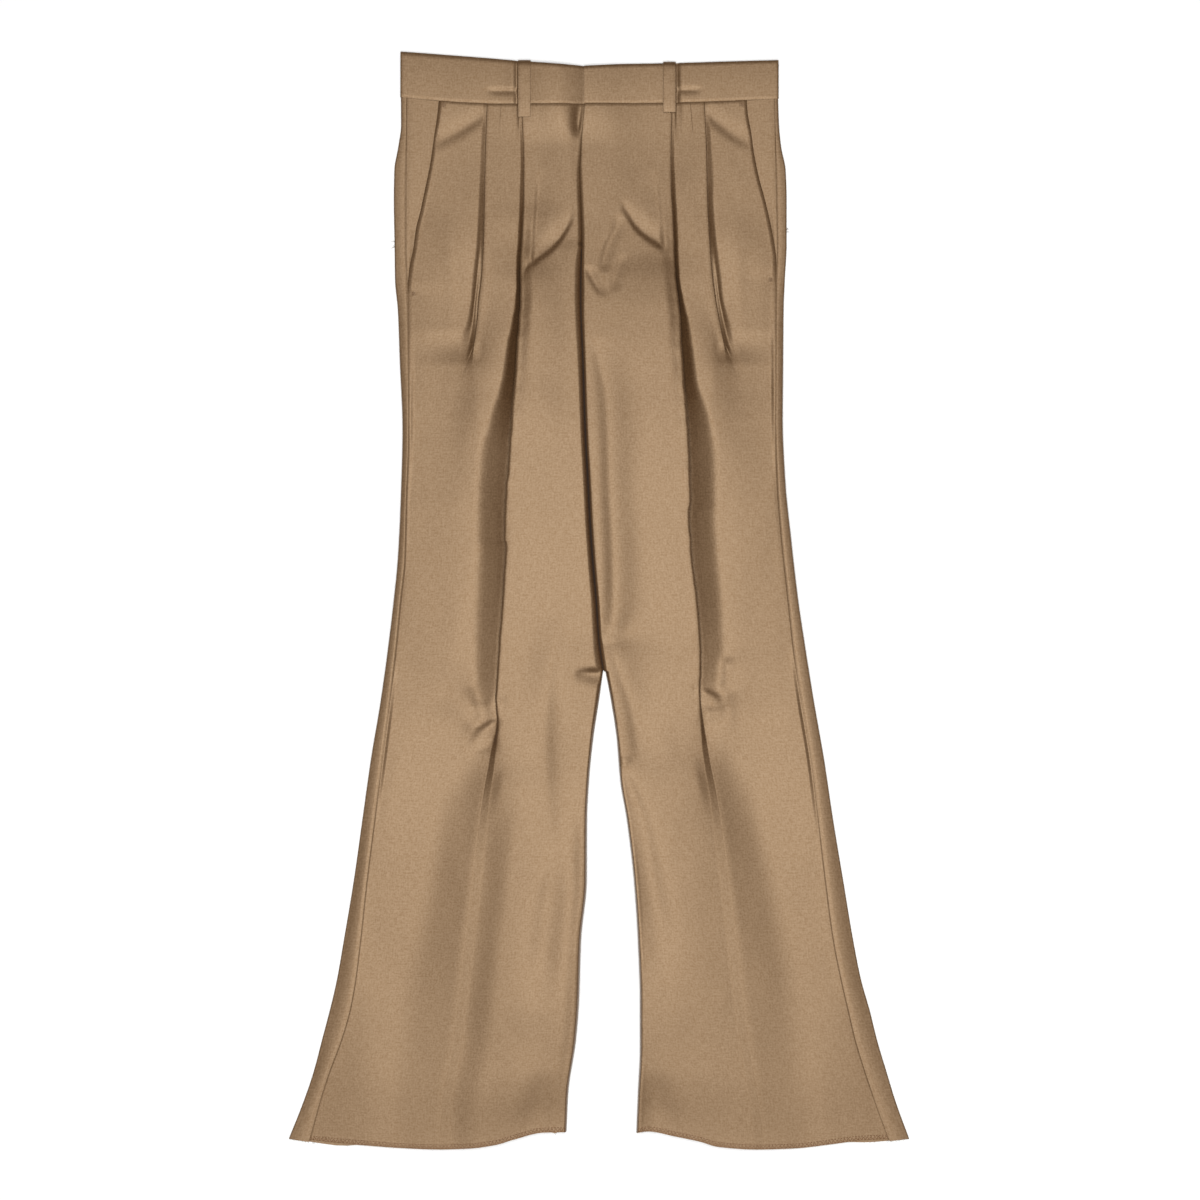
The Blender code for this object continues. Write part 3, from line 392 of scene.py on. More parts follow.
# How far an edge lies above or below its nominal line, from the middle (0) to the outer edge (1)
WAIST_SEAM_EDGE = by_side(
    "share rise",
    [
        (0, 0.5), (0.45, 0.7), (0.7, 2.5), (1, 7),
    ],
    [
        (0, 0.5), (0.5, 2), (0.8, 4), (1, 5.5),
    ],
)
BAND_TOP_EDGE = by_side(
    "share rise",
    [
        (0, 33), (0.35, 38), (0.5, 40.5), (0.85, 45.5), (1, 47.5),
    ],
    [
        (0, 33), (0.2, 35), (0.45, 36), (0.8, 38), (1, 39),
    ],
)
HEM_EDGE = by_side(
    "share rise",
    [
        (0, 9.5), (0.08, 9), (0.19, 2), (0.25, -3), (0.35, -7), (0.46, -8.2), (0.6, -7), (0.7, -5), (0.8, -3),
        (0.9, -0.5), (1, 1.5),
    ],
    [
        (0, 9), (0.04, 10), (0.14, 5), (0.23, 0), (0.3, -5.5), (0.45, -8.2), (0.58, -7.4), (0.71, -3.5),
        (0.82, 0), (1, 1.5),
    ],
)
# How far the back hem hangs beyond the front one
BACK_HEM_DROP = by_side(
    "share rise",
    [
        (0, 2), (0.04, -2.5), (0.1, 1.5), (0.7, 1), (0.82, -3), (1, 0),
    ],
    [
        (0, -2), (0.04, -1), (0.1, 1.5), (0.7, 1), (0.85, -2.5), (1, 0),
    ],
)

# Columns across each stretch of a front, and rows down the legs
OUTER_STEPS = 19
BETWEEN_STEPS = 10
DIP_STEPS = 8
TURN_STEPS = 5
HIDDEN_STEPS = 2
INNER_STEPS = 38
ENDING_STEPS = 10
LEG_ROWS = 396
EDGE_FADE = 5.0
# Rows stand closer where the small creases are
ROW_GAPS = table(
    "y gap",
    (495, 1.5), (485, 2.6), (410, 2), (390, 1.5), (310, 1.7), (280, 3.2), (-30, 2.8), (-50, 1.5), (-140, 1.7),
    (-190, 3), (-510, 3.2), (-540, 1.8),
)

# Waistband and belt loops
BAND_BACK_MIDDLE = 2.1
BAND_FRONT_MIDDLE = 4.0
BAND_LAP = 38.0
BAND_LAP_MIDDLE = 6.0
BAND_SWELL = 3.2
BAND_SEAM_DROP = 0.3  # the fronts' top edges lie this much lower than the band's middle
SEAM_LAYERS = 3.3  # height that the fronts' folds would have there
SEAM_BLEND = 42.0  # height over which the fronts' tops come to the band
BAND_ROWS = 27
# A pressed line beside each loop: its y, and where it runs from and to
BAND_PRESS = {"right": (509.0, 82.0, 116.0), "left": (510.0, 76.0, 104.0)}
LOOP_WIDTH = 12.5
LOOP_ARCH = 6.9
LOOP_TAIL = {"right": 13.5, "left": 10.0}
FRONT_LOOP = {"right": 75.5, "left": 69.3}
BACK_LOOP_OUT = 105.0

# Zip, stitches and loose yarns
ZIP_TAPE_WIDTH = 26.0
ZIP_TAPE_MIDDLE = 1.2
ZIP_TAPE = 0.3
ZIP_TOP, ZIP_FOOT = 488.0, 352.0
TEETH_TOP, TEETH_FOOT = 484.0, 356.0
ZIP_PITCH = 1.3
MOUTH_STITCH_INSET = 3.0
HEM_BAND = 4.6
HEM_YARNS = 90
TUFT_YARNS = 6
TUFT_HEIGHT = {"right": 356.0, "left": 370.0}

# Light and camera, in metres and watts
SOFTBOXES = {  # place, target, width and length, watts
    "top": ((0, 0.25, 3.6), (0, 0.25, 0), (1.1, 1.9), 89.5),
    "hem_left": ((0.58, -1.25, 3.6), (0.58, -1.25, 0), (0.62, 1.1), 28.5),
    "hem_right": ((-0.58, -1.25, 3.6), (-0.58, -1.25, 0), (0.62, 1.1), 28.5),
    "left": ((3, 0.1, 1.8), (0, 0, 0), (0.9, 2.8), 8.0),
    "right": ((-3, 0.1, 1.8), (0, 0, 0), (0.9, 2.8), 8.0),
}
AMBIENT = 0.1
LENS, SENSOR = 85.0, 36.0  # millimetres
VIEW_WIDTH = 1.2
FLOOR_SIZE = 6.0


def srgb(code):
    """A #rrggbb colour as linear light."""
    values = [int(code[i : i + 2], 16) / 255 for i in (1, 3, 5)]
    return [v / 12.92 if v <= 0.04045 else ((v + 0.055) / 1.055) ** 2.4 for v in values] + [1.0]


def smoothstep(low, high, value):
    t = np.clip((value - low) / (high - low), 0.0, 1.0)
    return t * t * (3 - 2 * t)


def follow(rows, column, at, key="y"):
    """A column of a table at any keys, on a smooth curve that never overshoots its rows."""
    keys = np.array([getattr(row, key) for row in rows], float)
    values = np.array([getattr(row, column) for row in rows], float)
    if keys[0] > keys[-1]:
        keys, values = keys[::-1], values[::-1]
    steps = np.diff(keys)
    slopes = np.diff(values) / steps
    before, after = slopes[:-1], slopes[1:]
    same_way = before * after > 0
    near, far = 2 * steps[1:] + steps[:-1], steps[1:] + 2 * steps[:-1]
    safe_before, safe_after = np.where(same_way, before, 1.0), np.where(same_way, after, 1.0)
    tangents = np.zeros(len(keys))
    tangents[1:-1] = np.where(same_way, (near + far) / (near / safe_before + far / safe_after), 0.0)
    tangents[0], tangents[-1] = slopes[0], slopes[-1]
    at = np.clip(np.asarray(at, float), keys[0], keys[-1])
    i = np.clip(np.searchsorted(keys, at) - 1, 0, len(steps) - 1)
    t = (at - keys[i]) / steps[i]
    return (
        (2 * t**3 - 3 * t**2 + 1) * values[i]
        + (t**3 - 2 * t**2 + t) * steps[i] * tangents[i]
        + (3 * t**2 - 2 * t**3) * values[i + 1]
        + (t**3 - t**2) * steps[i] * tangents[i + 1]
    )


def at_heights(rows, y):
    """Every column of a table at these heights down the garment."""
    return {column: follow(rows, column, y) for column in rows[0]._fields[1:]}


def middle_out(side, y):
    y = np.asarray(y, float)
    upper = SIDES[side] * follow(MIDDLE, "x", y)
    return np.where(y > MIDDLE[-1].y, upper, follow(INSEAM[side], "out", y))


def front_edge(side, y):
    """The front's outer edge: the pocket mouth, and below it the side seam."""
    mouth = follow(MOUTH[side], "out", y)
    seam = follow(OUTLINE[side], "seam", y) - SEAM_GAP
    return np.where(np.asarray(y, float) > POCKET_END[side], np.minimum(mouth, seam), seam)


def edge_rise(rows, side, out, y):
    middle = middle_out(side, y)
    share = (out - middle) / (follow(OUTLINE[side], "outer", y) - middle)
    return follow(rows, "rise", share, key="share")


def waist_y(side, out):
    return WAIST_SEAM + edge_rise(WAIST_SEAM_EDGE[side], side, out, WAIST_SEAM)


def band_top_y(side, out):
    return WAIST_SEAM + 5.0 + edge_rise(BAND_TOP_EDGE[side], side, out, WAIST_SEAM)


def true_y(side, out, y, hem_drop=None):
    """A nominal row's real y: it bends to the waist seam at the top and to the hem at the foot."""
    top = smoothstep(WAIST_SEAM - WAIST_BEND, WAIST_SEAM, y)
    foot = smoothstep(HEM_LINE + HEM_BEND, HEM_LINE, y)
    hem = edge_rise(HEM_EDGE[side], side, out, HEM_LINE)
    if hem_drop:
        hem = hem + edge_rise(hem_drop, side, out, HEM_LINE)
    return y + edge_rise(WAIST_SEAM_EDGE[side], side, out, WAIST_SEAM) * top + hem * foot


def turned_fold(fold):
    """The S of a fold as (out, z) columns: a turn under, the hidden layer and a turn back on top."""
    radius = np.minimum(fold["radius"], 0.95 * (fold["depth"] ** 2 + fold["rise"] ** 2) / (4 * fold["rise"]))
    start = -fold["line"] + radius + fold["depth"], fold["low"] + radius
    finish = -fold["line"] + radius, fold["low"] + fold["rise"] - radius
    reach = np.hypot(finish[0] - start[0], finish[1] - start[1])
    heading = np.arctan2(finish[1] - start[1], finish[0] - start[0]) + np.arcsin(2 * radius / reach)
    turn = heading[:, None] * np.linspace(0, 1, TURN_STEPS + 1)[None, :]
    r = radius[:, None]
    under = start[0][:, None] + r * np.sin(turn), start[1][:, None] - r * np.cos(turn)
    back = turn[:, ::-1]
    over = finish[0][:, None] - r * np.sin(back), finish[1][:, None] + r * np.cos(back)
    share = np.linspace(0, 1, HIDDEN_STEPS + 2)[None, 1:-1]
    hidden = [u[:, -1:] + (o[:, :1] - u[:, -1:]) * share for u, o in zip(under, over)]
    out, z = [np.concatenate([u, h, o], axis=1) for u, h, o in zip(under, hidden, over)]
    return -out, z


def slope_down(share):
    """From 1 to 0: rounded where it leaves the brow, then straight down to the foot."""
    t = np.clip(share, 0.0, 1.0)
    bend = 0.35
    return 1 - np.where(t < bend, t * t / (2 * bend), t - bend / 2) / (1 - bend / 2)


def panel(start, brow, foot, finish, steps):
    """Columns from an edge to a fold: the cloth climbs to a brow, slopes down to the fold's foot and
    runs level under it. Each argument is a pair of columns, out and z, except foot and steps."""
    share = np.linspace(0, 1, steps + 1)[None, 1:]
    brow_out = np.clip(brow[0], foot + 1, start[0] - 1)
    climb_out = start[0][:, None] + (brow_out - start[0])[:, None] * share
    climb_z = start[1][:, None] + (brow[1] - start[1])[:, None] * np.sin(share * math.pi / 2)
    down = np.linspace(0, 1, DIP_STEPS + 1)[None, 1:]
    dip_out = brow_out[:, None] + (foot - brow_out)[:, None] * down
    dip_z = finish[1][:, None] + (brow[1] - finish[1])[:, None] * slope_down(down)
    under_out = (foot + (finish[0] - foot) * 0.5)[:, None]
    out = np.concatenate([climb_out, dip_out, under_out], axis=1)
    return out, np.concatenate([climb_z, dip_z, finish[1][:, None]], axis=1)


def crown(out, y, edge, edge_z, run, brow, foot, low):
    """Heights below the pleats: up from the side seam, level, gently and then steeply down to the foot
    of the crease."""
    share = np.clip((edge[:, None] - out) / run[:, None], 0, 1)
    level = edge_z[:, None] + (brow[1] - edge_z)[:, None] * (1.2 * share - 0.2 * share**2)
    ease = np.clip((brow[0][:, None] + EASE_RUN - out) / EASE_RUN, 0, 1) ** 2
    level = level - EASE_FALL * ease * smoothstep(-130, -30, y)[:, None]
    down = slope_down((brow[0][:, None] - out) / (brow[0] - foot)[:, None])
    return low[:, None] + (level - low[:, None]) * down


def ending(side, y, inner):
    """The last stretch towards the middle: a roll down to the seam, or the tuck under the fly."""
    row = at_heights(ENDING[side], y)
    top_out = inner + row["run"] + np.maximum(0.0, -row["past"])
    t = np.linspace(0, 1, ENDING_STEPS + 1)[None, :]
    past, end = row["past"][:, None], row["end"][:, None]
    shoulder, run = row["shoulder"][:, None], row["run"][:, None]
    roll_out = inner[:, None] - past + run * (1 - np.sin(t * math.pi / 2))
    roll_z = end + (shoulder - end) * np.cos(t * math.pi / 2)
    tuck_out = top_out[:, None] + (inner[:, None] - past - top_out[:, None]) * t
    tuck_z = shoulder + (end - shoulder) * smoothstep(0.0, 0.6, t)
    tucked = smoothstep(0.0, 4.0, past)
    return roll_out + (tuck_out - roll_out) * tucked, roll_z + (tuck_z - roll_z) * tucked


def creased(offset, low_reach, high_reach):
    """From 1 on a crease's line to 0 beside it, with a reach of its own on either side."""
    return np.exp(-((offset / np.where(offset < 0, low_reach, high_reach)) ** 2))


def soft_relief(side, out, y):
    """The soft ridges and troughs of one front, as a height over its own form."""
    height = np.zeros_like(out)
    for rows in DOWN_FOLDS[side].values():
        ply = at_heights(table(DOWN_COLUMNS, *rows), y)
        height += ply["height"] * creased(out - ply["out"], ply["inner"], ply["outer"])
    for rows in CROSS_FOLDS[side].values():
        rows = table(CROSS_COLUMNS, *rows)
        pull = {column: follow(rows, column, out, key="out") for column in rows[0]._fields[1:]}
        height += pull["height"] * creased(y - pull["y"], pull["below"], pull["above"])
    return height


def cloth_waver(x, y, seed):
    """The slight unevenness of laid cloth, in mm, from three sizes of soft noise."""
    height = np.zeros_like(x)
    for size, depth in ((90.0, 0.5), (34.0, 0.22), (14.0, 0.06)):
        points = zip(x.ravel() / size, y.ravel() / (size * 1.7))
        waves = [noise.noise(Vector((px, py, seed))) for px, py in points]
        height += depth * np.array(waves).reshape(x.shape)
    return height


def pucker(y, seed):
    """The fine unevenness along a pressed crease, row by row, from -1 to 1."""
    fine = [noise.noise(Vector((height / 11.0, seed, 0.0))) for height in y]
    broad = [noise.noise(Vector((height / 27.0, seed, 5.0))) for height in y]
    return np.array(fine) + np.array(broad)


def foot_and_brow(fold, turn_out):
    """Where the cloth outside a fold meets it, and the (out, z) where its slope down to there starts."""
    foot = np.maximum(fold["line"] + FOOT_GAP, turn_out[:, 0] + 0.5)
    return foot, (foot + fold["valley"], fold["brow"])


def inner_run(side, y, crest, shoulder, lift, puckered):
    """Columns from the top of the crease to the last stretch: the cloth climbs by lift and settles to
    the shoulder, with a gentle rim beside the right leg's inseam."""
    share = np.linspace(0, 1, INNER_STEPS + 1)[None, 1:-1]
    out = crest[0] + (shoulder[0] - crest[0]) * share
    away = crest[0] - out
    settle = smoothstep(0.2, 1.0, share)
    settle = settle + (share - settle) * smoothstep(-60, -200, y)[:, None]
    shin = smoothstep(-150, -220, y)[:, None]
    climb = smoothstep(0.0, LIFT_RUN, away) * (1 - shin) + np.clip(away / SHIN_LIFT_RUN, 0, 1) * shin
    z = crest[1] - puckered[:, None] * smoothstep(0.0, 9.0, away) + lift[:, None] * climb
    z = z + (shoulder[1] - z) * settle
    rim = RIM_FALL[side] * smoothstep(-190, -260, y)[:, None]
    return out, z + rim * (1 - np.exp(-(((out - shoulder[0]) / RIM_RUN) ** 2))) * smoothstep(0.0, 30.0, away)


def free_cloth(out, edge, inner, folds):
    """1 where the soft relief may raise the cloth, down to 0 at its edges and where it lies folded."""
    free = smoothstep(0, EDGE_FADE, out - inner[:, None]) * smoothstep(0, EDGE_FADE, edge[:, None] - out)
    for fold in folds:
        line = fold["line"][:, None]
        under = (fold["line"] - np.maximum(fold["depth"], 0) - 2 * fold["radius"])[:, None]
        away = np.maximum(out - line - 1, under - out) + 1
        roomy = smoothstep(5.0, 7.5, fold["rise"])[:, None] * smoothstep(2, 6, line - out)
        open_slope = smoothstep(-1.0, -6.0, fold["depth"])[:, None]
        free = free * np.maximum(np.maximum(smoothstep(0, EDGE_FADE, away), roomy), open_slope)
    return free


def front_form(side, y):
    """A front's form as (x, y, z) columns, from its outer edge to the middle, one row for each y."""
    edge, inner = front_edge(side, y), middle_out(side, y)
    pleat, crease = at_heights(PLEAT[side], y), at_heights(CREASE[side], y)
    full = smoothstep(1.5, 6.0, crease["rise"])
    puckered = PUCKER_HEIGHT * pucker(y, PUCKER_SEED[side] + 20) * full
    crease["line"] = crease["line"] + PUCKER_ASIDE * pucker(y, PUCKER_SEED[side]) * full
    crease["rise"] = crease["rise"] + puckered
    over_facing = smoothstep(POCKET_END[side] - 10, POCKET_END[side] + 8, y)
    edge_z = follow(SEAM_RISE, "z", y) + FACING_RISE * over_facing
    lip = (edge - LIP_WIDTH, edge_z)
    pleat_out, pleat_z = turned_fold(pleat)
    crease_out, crease_z = turned_fold(crease)
    end_out, end_z = ending(side, y, inner)
    pleat_foot, pleat_brow = foot_and_brow(pleat, pleat_out)
    crease_foot, crease_brow = foot_and_brow(crease, crease_out)
    pleat_top = (pleat_out[:, -1], pleat_z[:, -1])
    crest, shoulder = (crease_out[:, -1:], crease_z[:, -1:]), (end_out[:, :1], end_z[:, :1])
    outside = [
        (edge[:, None], edge_z[:, None]),
        (lip[0][:, None], lip[1][:, None]),
        panel(lip, pleat_brow, pleat_foot, (pleat_out[:, 0], pleat_z[:, 0]), OUTER_STEPS),
        (pleat_out, pleat_z),
        panel(pleat_top, crease_brow, crease_foot, (crease_out[:, 0], crease_z[:, 0]), BETWEEN_STEPS),
    ]
    run = inner_run(side, y, crest, shoulder, crease["lift"], puckered)
    inside = [(crease_out, crease_z), run, (end_out, end_z)]
    out, z = [np.concatenate([part[axis] for part in outside + inside], axis=1) for axis in (0, 1)]
    rows = np.repeat(y[:, None], out.shape[1], axis=1)

    upto_crease = sum(part[0].shape[1] for part in outside)
    opened = smoothstep(PLEATS_CLOSED, PLEATS_OPEN, rows[:, :upto_crease])
    flank = follow(FLANK[side], "run", y)
    below = crown(out[:, :upto_crease], y, edge, edge_z, flank, crease_brow, crease_foot, crease["low"])
    z[:, :upto_crease] += (below - z[:, :upto_crease]) * opened

    relief = soft_relief(side, out, rows) + cloth_waver(SIDES[side] * out, rows, CLOTH_SEED[side])
    z = z + relief * free_cloth(out, edge, inner, (pleat, crease))
    z = FRONT_REST + (z - FRONT_REST) * (1 - HEM_PRESS * smoothstep(HEM_PRESS_RUN, 0, rows - HEM_LINE))
    z = np.maximum(z, FRONT_LOWEST)
    z[:, 0] -= SEAM_GROOVE + (MOUTH_GROOVE - SEAM_GROOVE) * over_facing
    band_middle = float(middle_out(side, WAIST_SEAM))
    to_band = band_heights(side, np.maximum(out, inner[:, None]), band_middle) - BAND_SEAM_DROP
    z = z + (to_band - SEAM_LAYERS) * smoothstep(WAIST_SEAM - SEAM_BLEND, WAIST_SEAM, rows)
    z = z - WAIST_GROOVE * smoothstep(WAIST_SEAM - 1.6, WAIST_SEAM, rows)
    return SIDES[side] * out, true_y(side, out, rows), z, upto_crease + crease_out.shape[1] - 1


def back_form(side, y):
    """A back's form: flat on the surface, round the outer edge and back over to the side seam."""
    outline = at_heights(OUTLINE[side], y)
    inner = middle_out(side, y) + 0.2
    seam_z, edge_z = follow(SEAM_RISE, "z", y)[:, None], follow(SEAM_RISE, "edge", y)[:, None]
    upright = (edge_z - BACK_MIDDLE) / 2
    radius = ROLL_RADIUS + 0.1 * (upright - ROLL_RADIUS)
    turn = outline["outer"][:, None] - radius - CLOTH / 2
    flat_out = inner[:, None] + (turn - inner[:, None]) * np.linspace(0, 1, 25)[None, :-1]
    angle = np.linspace(-math.pi / 2, math.pi / 2, 13)[None, :]
    roll_out = turn + radius * np.cos(angle)
    roll_z = BACK_MIDDLE + upright + upright * np.sin(angle)
    strip = np.linspace(0, 1, 11)[None, 1:]
    seam_out = outline["seam"][:, None]
    strip_out = turn + (seam_out - turn) * strip
    full = np.minimum(1.0, (turn - seam_out) / 14)
    strip_z = edge_z + (seam_z - edge_z) * strip
    strip_z = strip_z + 0.4 * full * np.sin(strip * math.pi) - SEAM_GROOVE * smoothstep(0.8, 1.0, strip)
    out = np.concatenate([flat_out, roll_out, strip_out], axis=1)
    z = np.concatenate([np.full_like(flat_out, BACK_MIDDLE), roll_z, strip_z], axis=1)
    rows = np.repeat(y[:, None], out.shape[1], axis=1)
    return SIDES[side] * out, true_y(side, out, rows, BACK_HEM_DROP[side]), z, flat_out.shape[1]


def cloth_sheet(name, form, wall, cloth, turned=False):
    """A sheet of cloth: a grid moved to its form, with a UV map in metres of cloth, and a wall. The
    form's last value is the column along which the cloth's grain runs straight."""
    x, y, z, grain = form
    rows, columns = x.shape
    sheet = bmesh.new()
    bmesh.ops.create_grid(sheet, x_segments=columns - 1, y_segments=rows - 1, size=1.0)
    order = sorted(sheet.verts, key=lambda v: (round(-v.co.y, 7), round(v.co.x, 7)))
    points = np.stack([x.ravel(), y.ravel(), z.ravel()], axis=1) * MM
    for vertex, point in zip(order, points):
        vertex.co = point
    steps = np.sqrt(np.diff(x, axis=1) ** 2 + np.diff(y, axis=1) ** 2 + np.diff(z, axis=1) ** 2)
    across = np.concatenate([np.zeros((rows, 1)), np.cumsum(steps, axis=1)], axis=1)
    across = across - across[:, grain : grain + 1]
    place = {v: (a * MM, b * MM) for v, a, b in zip(order, across.ravel(), y.ravel())}
    chart = sheet.loops.layers.uv.new("cloth")
    for face in sheet.faces:
        for loop in face.loops:
            u, v = place[loop.vert]
            loop[chart].uv = (v, u) if turned else (u, v)
    for edge in sheet.edges:
        edge.smooth = not edge.is_boundary
    bmesh.ops.recalc_face_normals(sheet, faces=sheet.faces)
    piece = finish(name, sheet, cloth, smooth=True)
    shell = piece.modifiers.new("Wall", "SOLIDIFY")
    shell.thickness = wall * MM
    shell.offset = 0.0
    shell.use_even_offset = True
    return piece


def finish(name, form, material, smooth=False):
    """A piece of the garment from its mesh in the making."""
    for face in form.faces:
        face.smooth = smooth
    mesh = bpy.data.meshes.new(name)
    form.to_mesh(mesh)
    form.free()
    mesh.materials.append(material)
    piece = bpy.data.objects.new(name, mesh)
    bpy.context.collection.objects.link(piece)
    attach(piece, "root")
    return piece


def soften_edges(piece, width, segments):
    edge = piece.modifiers.new("Soft edges", "BEVEL")
    edge.width = width * MM
    edge.segments = segments
    edge.limit_method = "ANGLE"
    edge.harden_normals = True


def leg_heights(count=LEG_ROWS):
    """The rows' heights from the waist seam to the hem, closer where ROW_GAPS says so."""
    fine = np.linspace(WAIST_SEAM, HEM_LINE, 4000)
    density = 1 / follow(ROW_GAPS, "gap", fine)
    passed = np.concatenate([[0.0], np.cumsum((density[:-1] + density[1:]) / 2)])
    return np.interp(np.linspace(0, passed[-1], count), passed, fine)


def make_fronts(cloth):
    for side in SIDES:
        piece = cloth_sheet(f"front_cloth_{side}", front_form(side, leg_heights()), CLOTH, cloth)
        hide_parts(f"front_{side}")


def make_backs(cloth):
    for side in SIDES:
        piece = cloth_sheet(f"back_cloth_{side}", back_form(side, leg_heights(260)), CLOTH, cloth)
        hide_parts(f"back_{side}")


def make_pocket_facings(cloth):
    for side in SIDES:
        y = np.linspace(WAIST_SEAM, POCKET_END[side] + 2, 60)
        seam = follow(OUTLINE[side], "seam", y) - SEAM_GAP
        mouth = np.minimum(follow(MOUTH[side], "out", y), seam - 0.5)
        share = np.linspace(0, 1, 13)[None, :]
        out = seam[:, None] + (mouth - 16 - seam)[:, None] * share
        under = smoothstep(mouth[:, None] - 2, seam[:, None] - 1, out)
        z = 2.05 + (STRIP_MIDDLE - 2.05) * under - 0.15 * smoothstep(0.06, 0.0, share)
        rows = np.repeat(y[:, None], out.shape[1], axis=1)
        form = SIDES[side] * out, true_y(side, out, rows), z, 0
        piece = cloth_sheet(f"pocket_facing_cloth_{side}", form, CLOTH, cloth)
        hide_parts(f"pocket_facing_{side}")


def band_heights(side, out, middle):
    """The waistband's front layer: the wearer's left half laps over the right one, which dips under it."""
    if side == "left":
        lap = 1 - smoothstep(middle, middle + 62, out)
        z = BAND_FRONT_MIDDLE + (BAND_LAP_MIDDLE - BAND_FRONT_MIDDLE) * lap
    else:
        swell = smoothstep(middle + 86, middle + 34, out)
        dip = np.clip((middle + 27 - out) / 27, 0, 1) ** 1.5
        z = BAND_FRONT_MIDDLE + BAND_SWELL * swell
        z = z + (BAND_FRONT_MIDDLE - 0.35 - z) * dip
    beside_loop = FRONT_LOOP[side] + LOOP_WIDTH / 2 + 1.0
    return z - 1.5 * creased(out - beside_loop, 1.5, 3.0)


def make_waistband(cloth):
    """Each half runs from the front closure, round the side fold, to the centre back seam."""
    for side in SIDES:
        middle = float(middle_out(side, WAIST_SEAM))
        front_end = middle + (-0.3 if side == "left" else -BAND_LAP)
        radius = (BAND_FRONT_MIDDLE - BAND_BACK_MIDDLE) / 2
        turn = float(follow(OUTLINE[side], "outer", WAIST_SEAM)) - radius - BAND_WALL / 2 + 0.4
        loop_edge = FRONT_LOOP[side] + LOOP_WIDTH / 2
        front_out = np.concatenate([
            np.linspace(front_end, loop_edge - 4, 50)[:-1],
            np.linspace(loop_edge - 4, loop_edge + 8, 16)[:-1],
            np.linspace(loop_edge + 8, turn, 44)[:-1],
        ])
        front_z = band_heights(side, front_out, middle)
        angle = np.linspace(math.pi / 2, -math.pi / 2, 9)
        centre = (BAND_FRONT_MIDDLE + BAND_BACK_MIDDLE) / 2
        back_out = np.linspace(turn, middle + 0.2, 30)[1:]
        out = np.concatenate([front_out, turn + radius * np.cos(angle), back_out])
        z = np.concatenate([front_z, centre + radius * np.sin(angle), np.full_like(back_out, BAND_BACK_MIDDLE)])
        in_front = np.concatenate([np.ones_like(front_out), np.linspace(1, 0, 9), np.zeros_like(back_out)])[None, :]
        share = np.linspace(0, 1, BAND_ROWS)[:, None]
        kept = np.maximum(out, middle)
        top, low = band_top_y(side, kept)[None, :], waist_y(side, kept)[None, :] + 0.15
        y = top + (low - top) * share
        cloth_z = 0.3 * np.sin(share * math.pi) - 0.8 * smoothstep(0.06, 0.0, share)
        cloth_z = cloth_z - WAIST_GROOVE * smoothstep(0.96, 1.0, share)
        press_y, press_from, press_to = BAND_PRESS[side]
        press = smoothstep(press_from, press_from + 4, out) * smoothstep(press_to, press_to - 12, out)
        cloth_z = cloth_z - 0.9 * creased(y - press_y, 4.0, 1.8) * press[None, :]
        z = z[None, :] + cloth_z * in_front + 0.25 * np.sin(share * math.pi) * (1 - in_front)
        x = np.repeat(SIDES[side] * out[None, :], len(share), axis=0)
        z = z + 0.6 * cloth_waver(x, y, BAND_SEED[side]) * in_front
        piece = cloth_sheet(f"waistband_cloth_{side}", (x, y, z, 0), BAND_WALL, cloth, turned=True)
        soften_edges(piece, 0.45, 3)
        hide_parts(f"waistband_{side}")


def loop_strip(name, x, path, cloth):
    """A belt loop: a narrow folded strip along (y, z) points, its edges a little thinner."""
    path = np.array(path)
    along = np.concatenate([[0], np.cumsum(np.hypot(*np.diff(path, axis=0).T))])
    fine = np.linspace(0, along[-1], 40)
    y = np.interp(fine, along, path[:, 0])
    z = np.interp(fine, along, path[:, 1])
    for _ in range(3):
        y[1:-1] = (y[:-2] + 2 * y[1:-1] + y[2:]) / 4
        z[1:-1] = (z[:-2] + 2 * z[1:-1] + z[2:]) / 4
    share = np.linspace(-0.5, 0.5, 9)[None, :]
    xs = np.repeat(x + LOOP_WIDTH * share, len(y), axis=0)
    ys = np.repeat(y[:, None], 9, axis=1)
    zs = z[:, None] + 0.25 * (1 - (2 * share) ** 4)
    piece = cloth_sheet(name, (xs, ys, zs, 4), LOOP_WALL, cloth)
    soften_edges(piece, 0.3, 2)
    return piece


def make_front_loops(cloth):
    for side, out in FRONT_LOOP.items():
        top, seam = float(band_top_y(side, out)), float(waist_y(side, out))
        over = top + 1.2
        path = [
            (over, BAND_FRONT_MIDDLE - 0.4),
            (over, BAND_FRONT_MIDDLE + 0.8),
            (over - 0.9, LOOP_ARCH - 1.1),
            (over - 3.5, LOOP_ARCH - 0.3),
            (over - 9.0, LOOP_ARCH),
            ((top + seam) / 2, LOOP_ARCH + 0.2),
            (seam + 3.0, LOOP_ARCH),
            (seam - 5.0, LOOP_ARCH - 0.3),
            (seam - LOOP_TAIL[side], LOOP_ARCH - 0.9),
        ]
        piece = loop_strip(f"belt_loop_cloth_front_{side}", SIDES[side] * out, path, cloth)
        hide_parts(f"belt_loop_front_{side}")


def make_back_loops(cloth):
    middle = float(middle_out("left", WAIST_SEAM))
    for name, side, out, x in (
        ("right", "right", BACK_LOOP_OUT, -BACK_LOOP_OUT),
        ("left", "left", BACK_LOOP_OUT, BACK_LOOP_OUT),
        ("centre", "left", middle + 6, middle),
    ):
        top, seam = float(band_top_y(side, out)), float(waist_y(side, out)) + 1.5
        path = [(top - 1.0, LOOP_WALL / 2), ((top + seam) / 2, LOOP_WALL / 2), (seam, LOOP_WALL / 2)]
        piece = loop_strip(f"belt_loop_cloth_back_{name}", x, path, cloth)
        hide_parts(f"belt_loop_back_{name}")


